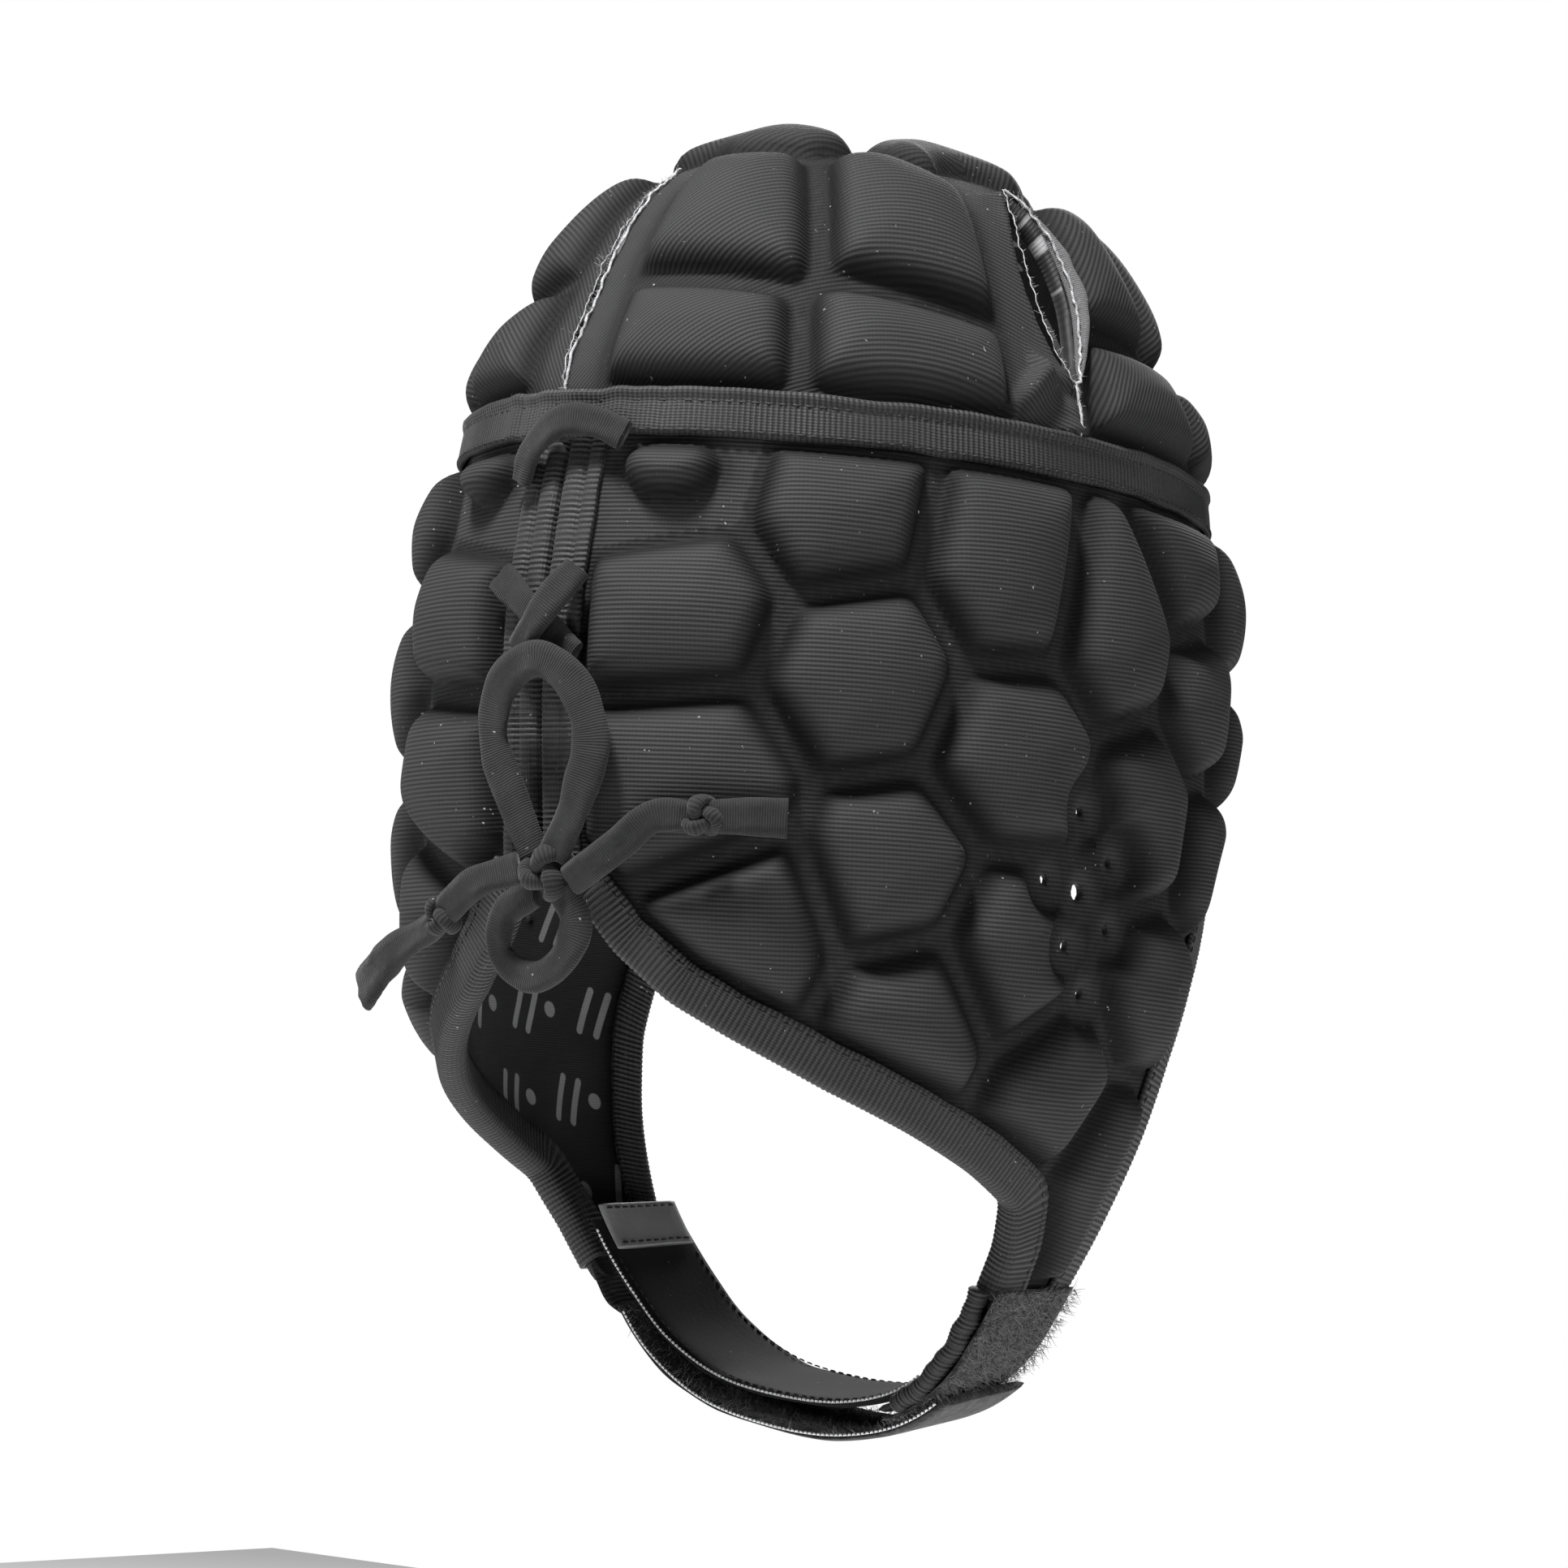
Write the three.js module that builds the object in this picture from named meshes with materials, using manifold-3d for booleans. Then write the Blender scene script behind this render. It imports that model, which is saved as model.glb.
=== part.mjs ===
// Rugby scrum cap: padded head guard with ear flaps, a laced slit at the back and a chin strap.
// Millimetres. +Z is up, -Y is the face side and +X is the wearer's left.
// The origin is the inside top of the crown, where the cap sits on a head.

import * as THREE from "three";
import { mergeVertices } from "three/addons/utils/BufferGeometryUtils.js";
import Module from "manifold-3d";

const wasm = await Module();
wasm.setup();

// Padded shell
const HALF_WIDTH = 84;
const BACK_DEPTH = 106;
const FRONT_DEPTH = 103;
const CROWN_HEIGHT = 80;
const SKIRT_DROP = 186;
const WALL = 3;
const SEAM_GAP = 0.3;

// Pads
const SIDE_RISE = 7.5;
const CROWN_RISE = 6.5;
const CHANNEL = 4.5;
const BEVEL = 5;
const BEVEL_SHARE = 0.55;
const SHOULDER = 0.82;
const PAD_SINK = 1.4;
const LONGEST_REACH = 27;
const PAD_CORNERS = 8;

// Tapes and bindings
const TAPE = 1.2;
const FIT = 0.4;
const SEAM_FIT = 0.75;
const FOLD_FIT = 1.1;
const HEM_LEG = 8.5;
const SLIT_LEG = 8;
const SEAM_TAPE_WIDTH = 11;
const SEAM_TAPE_LOW = 1.5;
const EDGE_MARGIN = 2;
const BACK_SLIT = 2;

// Crown slits and ear holes
const SLIT_MARGIN = 11;
const EAR_HOLE = 6;
const EAR_HOLE_BIG = 8;
const EAR_MARGIN = 4;

// Chin strap, from the inside of the left flap to the right one
const STRAP_WIDTH = 33;
const TAB_WIDTH = 28;
const STRAP_THICK = 2;
const PATCH = 1.2;
const LAYER_GAP = 0.3;
const STRAP_TILT = 7;
const STRAP_SHARE = 0.7262;
const STRAP_HALF_SPAN = STRAP_SHARE * HALF_WIDTH;
const STRAP_RISE = 23;
const STRAP_TOP = SKIRT_DROP - STRAP_RISE;
const STRAP_DROP = 45;
const STRAP_FORWARD = 8;
const PILE_SHIFT = 6;
const FLAP_TUCK = 6;
const STRAP_STATIONS = 22;

// Lace
const LACE_WIDTH = 8;
const LACE_THICK = 3;
const KNOT = 13;
const TAIL_KNOT = 11;

// The left flap is tucked inwards below this share of SKIRT_DROP
const TUCK_START = 0.76;

// Half outline of the shell by depth below the seam tape, as shares of SKIRT_DROP and of the main sizes
const SECTIONS = [
  // drop, width, back, front
  [0, 0.93, 0.945, 0.97],
  [0.11, 0.976, 0.98, 0.99],
  [0.24, 1, 1, 1],
  [0.43, 1.005, 0.972, 0.985],
  [0.59, 1, 0.925, 0.955],
  [0.75, 0.93, 0.86, 0.91],
  [0.88, 0.825, 0.81, 0.86],
  [1, 0.7, 0.765, 0.8],
  [1.2, 0.49, 0.7, 0.7],
];

// Crown from the seam tape (0) over the top (1), as shares of the top section and of CROWN_HEIGHT
const DOME = [
  // way, radius, height
  [0, 1, 0],
  [0.13, 0.965, 0.19],
  [0.27, 0.87, 0.38],
  [0.4, 0.775, 0.575],
  [0.55, 0.64, 0.775],
  [0.69, 0.47, 0.905],
  [1, 0, 1],
  [1.31, -0.47, 0.905],
];

// Lower edge from the back centre round the ear flap to the forehead: angle, share of SKIRT_DROP
const HEM = [
  [0, 0.5],
  [6, 0.535],
  [12, 0.597],
  [20, 0.65],
  [29, 0.687],
  [43, 0.738],
  [57, 0.782],
  [70, 0.826],
  [80, 0.865],
  [83, 0.925],
  [84, 1],
  [102, 1],
  [104, 0.9],
  [106, 0.79],
  [108, 0.68],
  [112, 0.58],
  [119, 0.48],
  [128, 0.38],
  [140, 0.28],
  [155, 0.225],
  [180, 0.205],
];
const FLAP_REAR_ANGLE = 84;
const FLAP_FRONT_ANGLE = 102;
const HEM_START_ANGLE = 10;

// Pads of one side: angle from the back centre, share of SKIRT_DROP
const SIDE_PADS = [
  [18, 0.04],
  [41, 0.085],
  [66, 0.135],
  [22, 0.2],
  [46, 0.27],
  [68, 0.35],
  [24, 0.41],
  [50, 0.5],
  [68, 0.575],
  [31, 0.57],
  [54, 0.655],
  [80, 0.73],
  [85, 0.18],
  [92, 0.4],
  [97, 0.61],
  [95, 0.8],
  [103, 0.08],
  [107, 0.24],
  [111, 0.44],
  [125, 0.11],
  [125, 0.29],
  [147, 0.1],
  [169, 0.1],
];

// Pads of the crown: angle, way up the dome
const CROWN_PADS = [
  [19, 0.175],
  [50, 0.175],
  [19, 0.445],
  [50, 0.445],
  [-22, 0.175],
  [-50, 0.175],
  [-30, 0.445],
  [-58, 0.445],
  [98, 0.175],
  [130, 0.175],
  [160, 0.175],
  [99, 0.445],
  [129, 0.445],
  [159, 0.445],
  [-98, 0.175],
  [-130, 0.175],
  [-160, 0.175],
  [-103, 0.445],
  [-131, 0.445],
  [-159, 0.445],
  [-6, 0.8],
  [80, 0.8],
  [170, 0.8],
  [-95, 0.8],
];

// Slits of the crown: angle at the tape and at the top, opening across
const CROWN_SLITS = [
  [-3, -14, 2.4],
  [79, 84, 12],
  [-79, -84, 5],
  [180, 180, 2.4],
];
const SLIT_START = 0.07;
const SLIT_END = 0.62;
const SLIT_BLUNT = 0.35;

// Ear holes: angle, share of SKIRT_DROP
const EAR_HOLES = [
  [80, 0.4],
  [86, 0.455],
  [74, 0.485],
  [86, 0.535],
  [78, 0.56],
  [82, 0.615],
];
const EAR_CENTRE = [80, 0.495];

// Chin strap's middle line, left to right, as shares of STRAP_HALF_SPAN, STRAP_DROP and STRAP_FORWARD
const STRAP_PATH = [
  // across, down, forward
  [0.98, 0, 0.9],
  [0.84, 0.29, 0.95],
  [0.685, 0.53, 1],
  [0.51, 0.74, 1],
  [0.26, 0.91, 1],
  [0, 0.98, 0.95],
  [-0.35, 0.99, 0.9],
  [-0.63, 0.89, 0.8],
  [-0.81, 0.7, 0.65],
  [-0.9, 0.5, 0.55],
  [-0.97, 0.28, 0.5],
];

// Strap layers: from and to along the middle line, distance from it at both ends, thickness
const STRAPS = {
  chin_strap_inner: [0, 0.84, -STRAP_THICK, -STRAP_THICK, STRAP_THICK],
  flap_tab: [0.04, 0.12, -STRAP_THICK - LAYER_GAP - PATCH, -STRAP_THICK - LAYER_GAP - PATCH, PATCH],
  chin_strap_outer: [0.21, 0.83, 0.5, 6.4, STRAP_THICK],
  flap_strap_right: [0.74, 0.91, 0.5, 1, STRAP_THICK],
  loop_patch: [0.74, 0.905, 2.9, 3.4, PATCH],
};

// Lace: angle, share of SKIRT_DROP, height of its middle above the face
const LACE = {
  lace_bridge: [[-6.5, 0.065, 3.5], [-4.5, 0.03, 5.4], [1, 0, 6.4], [6, 0, 5.2], [11, 0.014, 3.7]],
  lace_cross_a: [[-6.8, 0.178, 4.4], [-2.5, 0.205, 4], [2.5, 0.238, 3.8], [7, 0.27, 3.8]],
  lace_cross_b: [[7, 0.172, 4.8], [5, 0.2, 7], [2.5, 0.23, 7.8], [-2, 0.262, 4.6]],
  bow_loop: [
    [2, 0.492, 7], [-1, 0.43, 8], [-4, 0.36, 8.5], [-2, 0.3, 9], [4, 0.275, 10],
    [9, 0.3, 10], [12, 0.36, 11], [10, 0.43, 11], [5.5, 0.492, 8],
  ],
  lower_loop: [
    [1, 0.535, 5], [-5, 0.56, 5], [-6, 0.605, 5.5], [0, 0.63, 6], [6, 0.605, 7], [8, 0.565, 7], [6, 0.53, 7],
  ],
  lace_tail_right: [
    [8, 0.52, 8.5], [12, 0.5, 11], [16, 0.475, 11.5], [20, 0.447, 11.5], [26, 0.445, 11.5], [31, 0.443, 11.5],
    [36, 0.443, 11.5],
  ],
  lace_tail_left: [
    [0.2, 0.506, 9], [-6, 0.522, 11.5], [-10, 0.543, 12], [-15, 0.57, 12], [-22, 0.595, 15],
    [-29, 0.635, 19],
  ],
};
const KNOT_PLACE = [4, 0.511, 7];
const TAIL_KNOTS = { lace_tail_right: [26, 0.445, 11.5], lace_tail_left: [-13, 0.56, 11.5] };
const LACE_STATIONS = 2;
const LACE_CORNERS = 5;

// Fineness of the grid over the shell, degrees and shares, and of the steps along it
const GRID_ANGLE = 12;
const EDGE_STEP = 15;
const SKIRT_ROWS = [0, 0.11, 0.23, 0.36, 0.52, 0.74, 1];
const DOME_ROWS = [0, 0.15, 0.32, 0.5, 0.7, 1];
const FACE_STEP = 1.5;
const SAMPLE = 0.75;
const BORDER_STEP = 2;
const SLIT_STATIONS = 6;

const fabric = (color, roughness) => new THREE.MeshStandardMaterial({ color, roughness, metalness: 0 });

// Smooth value of one column of a table at x
function along(rows, x, column) {
  const last = rows.length - 1;
  let i = 0;
  while (i < last - 1 && x > rows[i + 1][0]) {
    i += 1;
  }
  const slope = (k) => {
    const a = rows[Math.max(k - 1, 0)];
    const b = rows[Math.min(k + 1, last)];
    return (b[column] - a[column]) / (b[0] - a[0]);
  };
  const [a, b] = [rows[i], rows[i + 1]];
  const step = b[0] - a[0];
  const t = (x - a[0]) / step;
  const bend = (1 + 2 * t) * (1 - t) ** 2 * a[column] + t * t * (3 - 2 * t) * b[column];
  return bend + step * t * (1 - t) * ((1 - t) * slope(i) - t * slope(i + 1));
}

// Point of the shell's outer face. Level runs from -1 at the flap ends to 0 at the tape and 1 at the top.
function face(angle, level) {
  const drop = Math.max(-level, 0);
  const way = Math.max(level, 0);
  const radius = level > 0 ? along(DOME, way, 1) : 1;
  const height = level > 0 ? along(DOME, way, 2) * CROWN_HEIGHT : -drop * SKIRT_DROP;
  const a = THREE.MathUtils.degToRad(angle);
  const back = along(SECTIONS, drop, 2) * BACK_DEPTH;
  const front = along(SECTIONS, drop, 3) * FRONT_DEPTH;
  const depth = Math.cos(a) > 0 ? back : front;
  const width = along(SECTIONS, drop, 1) * HALF_WIDTH;
  const tuck = Math.sin(a) < 0 ? FLAP_TUCK * Math.max((drop - TUCK_START) / (1 - TUCK_START), 0) ** 2 : 0;
  return new THREE.Vector3(-width * radius * Math.sin(a) - tuck, depth * radius * Math.cos(a), height);
}

function slopes(angle, level) {
  const da = 0.5;
  const dl = 0.004;
  const byAngle = face(angle + da, level).sub(face(angle - da, level)).divideScalar(2 * da);
  const byLevel = face(angle, level + dl).sub(face(angle, level - dl)).divideScalar(2 * dl);
  return [byAngle, byLevel];
}

function outward(angle, level) {
  if (level > 0.995) {
    return new THREE.Vector3(0, 0, 1);
  }
  const [byAngle, byLevel] = slopes(angle, level);
  return byAngle.cross(byLevel).normalize();
}

// Point that stands a height off the outer face
function off(angle, level, height) {
  return face(angle, level).addScaledVector(outward(angle, level), height);
}

// Angle and level a short way from a place on the face, in a direction in space
function walk([angle, level], direction, distance) {
  const steps = Math.max(1, Math.ceil(Math.abs(distance) / FACE_STEP));
  for (let i = 0; i < steps; i += 1) {
    const [u, v] = slopes(angle, level);
    const goal = direction.clone().multiplyScalar(distance / steps);
    const [uu, uv, vv] = [u.dot(u), u.dot(v), v.dot(v)];
    const [gu, gv] = [goal.dot(u), goal.dot(v)];
    const det = uu * vv - uv * uv;
    angle += (gu * vv - gv * uv) / det;
    level += (gv * uu - gu * uv) / det;
  }
  return [angle, level];
}

// Closed solid from a list of triangles of points
function solidOf(triangles) {
  const flat = new Float32Array(triangles.flat().flatMap((p) => p.toArray()));
  const geometry = new THREE.BufferGeometry();
  geometry.setAttribute("position", new THREE.BufferAttribute(flat, 3));
  return solidFrom(geometry);
}

// Closed solid from any geometry whose vertices meet
function solidFrom(geometry) {
  geometry.deleteAttribute("normal");
  geometry.deleteAttribute("uv");
  const merged = mergeVertices(geometry, 1e-3);
  const index = merged.index.array;
  const kept = [];
  for (let i = 0; i < index.length; i += 3) {
    const [a, b, c] = [index[i], index[i + 1], index[i + 2]];
    if (a !== b && b !== c && c !== a) {
      kept.push(a, b, c);
    }
  }
  return new wasm.Manifold(new wasm.Mesh({
    numProp: 3,
    vertProperties: new Float32Array(merged.attributes.position.array),
    triVerts: new Uint32Array(kept),
  }));
}

function quad(list, a, b, c, d) {
  list.push([a, b, c], [a, c, d]);
}

// Closed sheet between an outer and an inner grid of points, open or joined round in i
function shell(at, columns, rows, round) {
  const list = [];
  const next = (i) => (round ? (i + 1) % columns : i + 1);
  const spans = round ? columns : columns - 1;
  for (let i = 0; i < spans; i += 1) {
    for (let j = 0; j < rows - 1; j += 1) {
      quad(list, at(i, j, 0), at(next(i), j, 0), at(next(i), j + 1, 0), at(i, j + 1, 0));
      quad(list, at(i, j, 1), at(i, j + 1, 1), at(next(i), j + 1, 1), at(next(i), j, 1));
    }
    quad(list, at(i, 0, 1), at(next(i), 0, 1), at(next(i), 0, 0), at(i, 0, 0));
    const top = rows - 1;
    quad(list, at(i, top, 0), at(next(i), top, 0), at(next(i), top, 1), at(i, top, 1));
  }
  if (!round) {
    const last = columns - 1;
    for (let j = 0; j < rows - 1; j += 1) {
      quad(list, at(0, j, 0), at(0, j + 1, 0), at(0, j + 1, 1), at(0, j, 1));
      quad(list, at(last, j, 1), at(last, j + 1, 1), at(last, j + 1, 0), at(last, j, 0));
    }
  }
  return solidOf(list);
}

function centreOf(ring) {
  return ring.reduce((sum, p) => sum.add(p), new THREE.Vector3()).divideScalar(ring.length);
}

// Solid between rings of the same number of points, closed at both ends, at the last one up to a peak
function loft(rings, peak) {
  const list = [];
  const count = rings[0].length;
  for (let r = 0; r < rings.length - 1; r += 1) {
    for (let k = 0; k < count; k += 1) {
      const n = (k + 1) % count;
      quad(list, rings[r][k], rings[r][n], rings[r + 1][n], rings[r + 1][k]);
    }
  }
  const [first, last] = [rings[0], rings[rings.length - 1]];
  const start = centreOf(first);
  const end = peak ?? centreOf(last);
  for (let k = 0; k < count; k += 1) {
    const n = (k + 1) % count;
    list.push([start, first[n], first[k]], [end, last[k], last[n]]);
  }
  return solidOf(list);
}

// The same solid whichever way its faces were first turned
function facingOut(make) {
  const body = make(1);
  return body.volume() > 0 ? body : make(-1);
}

function loftOut(rings, peak) {
  return facingOut((turn) => loft(turn > 0 ? rings : rings.map((ring) => [...ring].reverse()), peak));
}

// Lower edge as columns of angle and level, fine enough to follow the round shell
function hemColumns() {
  const columns = [];
  for (let i = 0; i < HEM.length - 1; i += 1) {
    const [a, b] = [HEM[i], HEM[i + 1]];
    const parts = Math.ceil((b[0] - a[0]) / GRID_ANGLE);
    for (let k = 0; k < parts; k += 1) {
      const t = k / parts;
      columns.push([a[0] + (b[0] - a[0]) * t, -(a[1] + (b[1] - a[1]) * t)]);
    }
  }
  const last = HEM[HEM.length - 1];
  columns.push([last[0], -last[1]]);
  return columns;
}

const columns = hemColumns();
const seam = THREE.MathUtils.radToDeg(SEAM_GAP / 2 / HALF_WIDTH);
const backSlit = THREE.MathUtils.radToDeg(BACK_SLIT / HALF_WIDTH);
const tapeLevel = -SEAM_GAP / 2 / SKIRT_DROP;

// Web of one side panel, hem to tape; side is 1 for the wearer's right and -1 for the left
function sideWeb(side) {
  const at = (i, j, inner) => {
    const angle = THREE.MathUtils.clamp(columns[i][0], backSlit, 180 - seam);
    const level = THREE.MathUtils.lerp(columns[i][1], tapeLevel, SKIRT_ROWS[j]);
    return off(side * angle, level, inner ? -WALL : 0);
  };
  return facingOut((turn) => {
    const pick = turn > 0 ? (i) => i : (i) => columns.length - 1 - i;
    return shell((i, j, inner) => at(pick(i), j, inner), columns.length, SKIRT_ROWS.length, false);
  });
}

function crownWeb() {
  const count = Math.round(360 / GRID_ANGLE);
  const lowest = SEAM_GAP / 2 / CROWN_HEIGHT;
  const at = (i, j, inner) => off((i * 360) / count, Math.max(DOME_ROWS[j], lowest), inner ? -WALL : 0);
  return facingOut((turn) => shell((i, j, inner) => at(turn * i, j, inner), count, DOME_ROWS.length, true));
}

// Border of a side panel: points to stay clear of, each with its margin
function sideBorder(side) {
  const border = [];
  const hemMargin = HEM_LEG + EDGE_MARGIN;
  for (const [angle, level] of columns) {
    border.push([face(side * angle, level), hemMargin]);
  }
  for (let i = 0; i < HEM.length - 1; i += 1) {
    for (let t = 0.25; t < 1; t += 0.25) {
      const angle = THREE.MathUtils.lerp(HEM[i][0], HEM[i + 1][0], t);
      const level = -THREE.MathUtils.lerp(HEM[i][1], HEM[i + 1][1], t);
      border.push([face(side * angle, level), hemMargin]);
    }
  }
  for (let angle = 0; angle <= 180; angle += BORDER_STEP) {
    border.push([face(side * angle, 0), SEAM_TAPE_LOW + EDGE_MARGIN]);
  }
  for (let t = 0; t <= 1; t += BORDER_STEP / 100) {
    border.push([face(0, -HEM[0][1] * t), SLIT_LEG + EDGE_MARGIN + BACK_SLIT]);
    border.push([face(180, -HEM[HEM.length - 1][1] * t), CHANNEL / 2]);
  }
  for (const [angle, drop] of EAR_HOLES) {
    border.push([face(side * angle, -drop), EAR_HOLE / 2 + EAR_MARGIN]);
  }
  border.push([face(side * EAR_CENTRE[0], -EAR_CENTRE[1]), EAR_HOLE_BIG / 2 + EAR_MARGIN]);
  return border;
}

function slitAngle([low, high], way) {
  return THREE.MathUtils.mapLinear(way, SLIT_START, SLIT_END, low, high);
}

function crownBorder() {
  const border = [];
  for (let angle = -180; angle < 180; angle += BORDER_STEP) {
    border.push([off(angle, 0.001, 0), SEAM_TAPE_WIDTH - SEAM_TAPE_LOW + EDGE_MARGIN]);
  }
  for (const slit of CROWN_SLITS) {
    for (let way = SLIT_START; way <= SLIT_END; way += BORDER_STEP / 100) {
      border.push([face(slitAngle(slit, way), way), SLIT_MARGIN]);
    }
  }
  return border;
}

// How far a point is inside the pad of one seed: half a channel short of its neighbours, clear of the border
function clearance(point, seed, others, border) {
  let least = Infinity;
  for (const other of others) {
    const apart = other.distanceTo(seed);
    const middle = (point.distanceToSquared(other) - point.distanceToSquared(seed)) / (2 * apart);
    least = Math.min(least, middle - CHANNEL / 2);
  }
  for (const [edge, margin] of border) {
    least = Math.min(least, point.distanceTo(edge) - margin);
  }
  return least;
}

// One raised foam pad, sunk a little into the web
function pad(place, others, border, rise) {
  const seed = face(...place);
  const [u] = slopes(...place);
  const normal = outward(...place);
  const east = u.normalize();
  const north = normal.clone().cross(east);
  const rings = [[], []];
  for (let k = 0; k < PAD_CORNERS; k += 1) {
    const turn = (k / PAD_CORNERS) * Math.PI * 2;
    const direction = east.clone().multiplyScalar(Math.cos(turn)).addScaledVector(north, Math.sin(turn));
    let reach = 0;
    let here = place;
    while (reach < LONGEST_REACH && clearance(face(...here), seed, others, border) > 0) {
      reach += SAMPLE;
      here = walk(here, direction, SAMPLE);
    }
    const bevel = Math.min(BEVEL, reach * BEVEL_SHARE);
    rings[0].push(off(...walk(place, direction, reach), -PAD_SINK));
    rings[1].push(off(...walk(place, direction, reach - bevel), SHOULDER * rise));
  }
  return loftOut(rings, off(...place, rise));
}

function withPads(web, places, border, rise) {
  const seeds = places.map((place) => face(...place));
  let body = web;
  places.forEach((place, i) => {
    const others = seeds.filter((other, k) => k !== i);
    body = body.add(pad(place, others, border, rise));
  });
  return body;
}

// Hole straight through the shell at a place
function hole(place, diameter, sides) {
  const depth = 4 * (WALL + SIDE_RISE);
  const rod = new THREE.CylinderGeometry(diameter / 2, diameter / 2, depth, sides);
  const up = new THREE.Vector3(0, 1, 0);
  rod.applyQuaternion(new THREE.Quaternion().setFromUnitVectors(up, outward(...place)));
  rod.translate(...face(...place).toArray());
  return solidFrom(rod);
}

function sidePanel(side) {
  const places = SIDE_PADS.map(([angle, drop]) => [side * angle, -drop]);
  let body = withPads(sideWeb(side), places, sideBorder(side), SIDE_RISE);
  for (const [angle, drop] of EAR_HOLES) {
    body = body.subtract(hole([side * angle, -drop], EAR_HOLE, 6));
  }
  return body.subtract(hole([side * EAR_CENTRE[0], -EAR_CENTRE[1]], EAR_HOLE_BIG, 10));
}

// Lens-shaped cut through the crown along one slit
function slitCut(slit) {
  const rings = [-2 * WALL, WALL].map((height) => {
    const left = [];
    const right = [];
    for (let k = 0; k <= SLIT_STATIONS; k += 1) {
      const way = THREE.MathUtils.lerp(SLIT_START, SLIT_END, k / SLIT_STATIONS);
      const half = (slit[2] / 2) * Math.sin((Math.PI * (k + SLIT_BLUNT)) / (SLIT_STATIONS + 2 * SLIT_BLUNT));
      const place = [slitAngle(slit, way), way];
      const across = slopes(...place)[0].normalize();
      left.push(off(...walk(place, across, -half), height));
      right.push(off(...walk(place, across, half), height));
    }
    return [...left, ...right.reverse()];
  });
  return facingOut((way) => {
    const turned = way > 0 ? rings : rings.map((ring) => [...ring].reverse());
    return strip(turned);
  });
}

// Solid between two long narrow rings, capped across by pairs of facing points
function strip([lower, upper]) {
  const list = [];
  const count = lower.length;
  for (let k = 0; k < count; k += 1) {
    const n = (k + 1) % count;
    quad(list, lower[k], lower[n], upper[n], upper[k]);
  }
  for (let k = 0; k < count / 2 - 1; k += 1) {
    const m = count - 1 - k;
    quad(list, lower[m], lower[m - 1], lower[k + 1], lower[k]);
    quad(list, upper[k], upper[k + 1], upper[m - 1], upper[m]);
  }
  return solidOf(list);
}

function crown() {
  let body = withPads(crownWeb(), CROWN_PADS, crownBorder(), CROWN_RISE);
  for (const slit of CROWN_SLITS) {
    body = body.subtract(slitCut(slit));
  }
  return body;
}

// Ribbed tape over the seam between crown and sides
function seamTape() {
  const count = Math.round(360 / GRID_ANGLE);
  const up = new THREE.Vector3(0, 0, 1);
  const reaches = [-SEAM_TAPE_LOW, 0, SEAM_TAPE_WIDTH - SEAM_TAPE_LOW];
  const at = (i, j, inner) => {
    const place = walk([(i * 360) / count, 0], up, reaches[j]);
    return off(...place, inner ? SEAM_FIT : SEAM_FIT + TAPE);
  };
  return facingOut((turn) => shell((i, j, inner) => at(turn * i, j, inner), count, reaches.length, true));
}

// Folded tape round an edge: places along the edge, direction into the cloth and length of its legs
function binding(edge, side, leg) {
  const reaches = [-FIT - TAPE, leg, leg, -FIT, -FIT, leg, leg, -FIT - TAPE];
  const inside = -WALL - FOLD_FIT;
  const heights = [inside - TAPE, inside - TAPE, inside, inside, FIT, FIT, FIT + TAPE, FIT + TAPE];
  const rings = edge.map((place, i) => {
    const before = face(...edge[Math.max(i - 1, 0)]);
    const after = face(...edge[Math.min(i + 1, edge.length - 1)]);
    const along = after.sub(before).normalize();
    const inwards = outward(...place).cross(along).multiplyScalar(side).normalize();
    return reaches.map((reach, k) => off(...walk(place, inwards, reach), heights[k]));
  });
  return facingOut((way) => foldedLoft(way > 0 ? rings : rings.map((ring) => [...ring].reverse())));
}

// Loft of the folded tape's section, whose ends are closed leg by leg
function foldedLoft(rings) {
  const list = [];
  for (let r = 0; r < rings.length - 1; r += 1) {
    for (let k = 0; k < 8; k += 1) {
      const n = (k + 1) % 8;
      quad(list, rings[r][k], rings[r][n], rings[r + 1][n], rings[r + 1][k]);
    }
  }
  const cap = (ring, flip) => {
    const faces = [[0, 1, 2, 3], [0, 3, 4, 7], [4, 5, 6, 7]];
    for (const [a, b, c, d] of faces) {
      const corners = [ring[a], ring[b], ring[c], ring[d]];
      const turned = flip ? corners.reverse() : corners;
      quad(list, ...turned);
    }
  };
  cap(rings[0], true);
  cap(rings[rings.length - 1], false);
  return solidOf(list);
}

function hemEdge(side, from, to) {
  const edge = columns.filter(([angle]) => angle >= from && angle <= to);
  const fine = [];
  for (let i = 0; i < edge.length - 1; i += 1) {
    const parts = Math.ceil(face(...edge[i]).distanceTo(face(...edge[i + 1])) / EDGE_STEP);
    for (let k = 0; k < parts; k += 1) {
      fine.push([0, 1].map((n) => THREE.MathUtils.lerp(edge[i][n], edge[i + 1][n], k / parts)));
    }
  }
  return [...fine, edge[edge.length - 1]].map(([angle, level]) => [side * angle, level]);
}

// Edge round the face opening, from the right flap over the forehead to the left flap
function faceEdge() {
  const right = hemEdge(1, FLAP_FRONT_ANGLE, 180);
  const left = right.slice(0, -1).reverse();
  return [...right, ...left.map(([angle, level]) => [360 - angle, level])];
}

function slitEdge(side) {
  const top = -(SEAM_TAPE_LOW + FIT) / SKIRT_DROP;
  const shares = [...SKIRT_ROWS].reverse();
  return shares.map((share) => [side * backSlit, THREE.MathUtils.lerp(-HEM[0][1], top, share)]);
}

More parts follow.
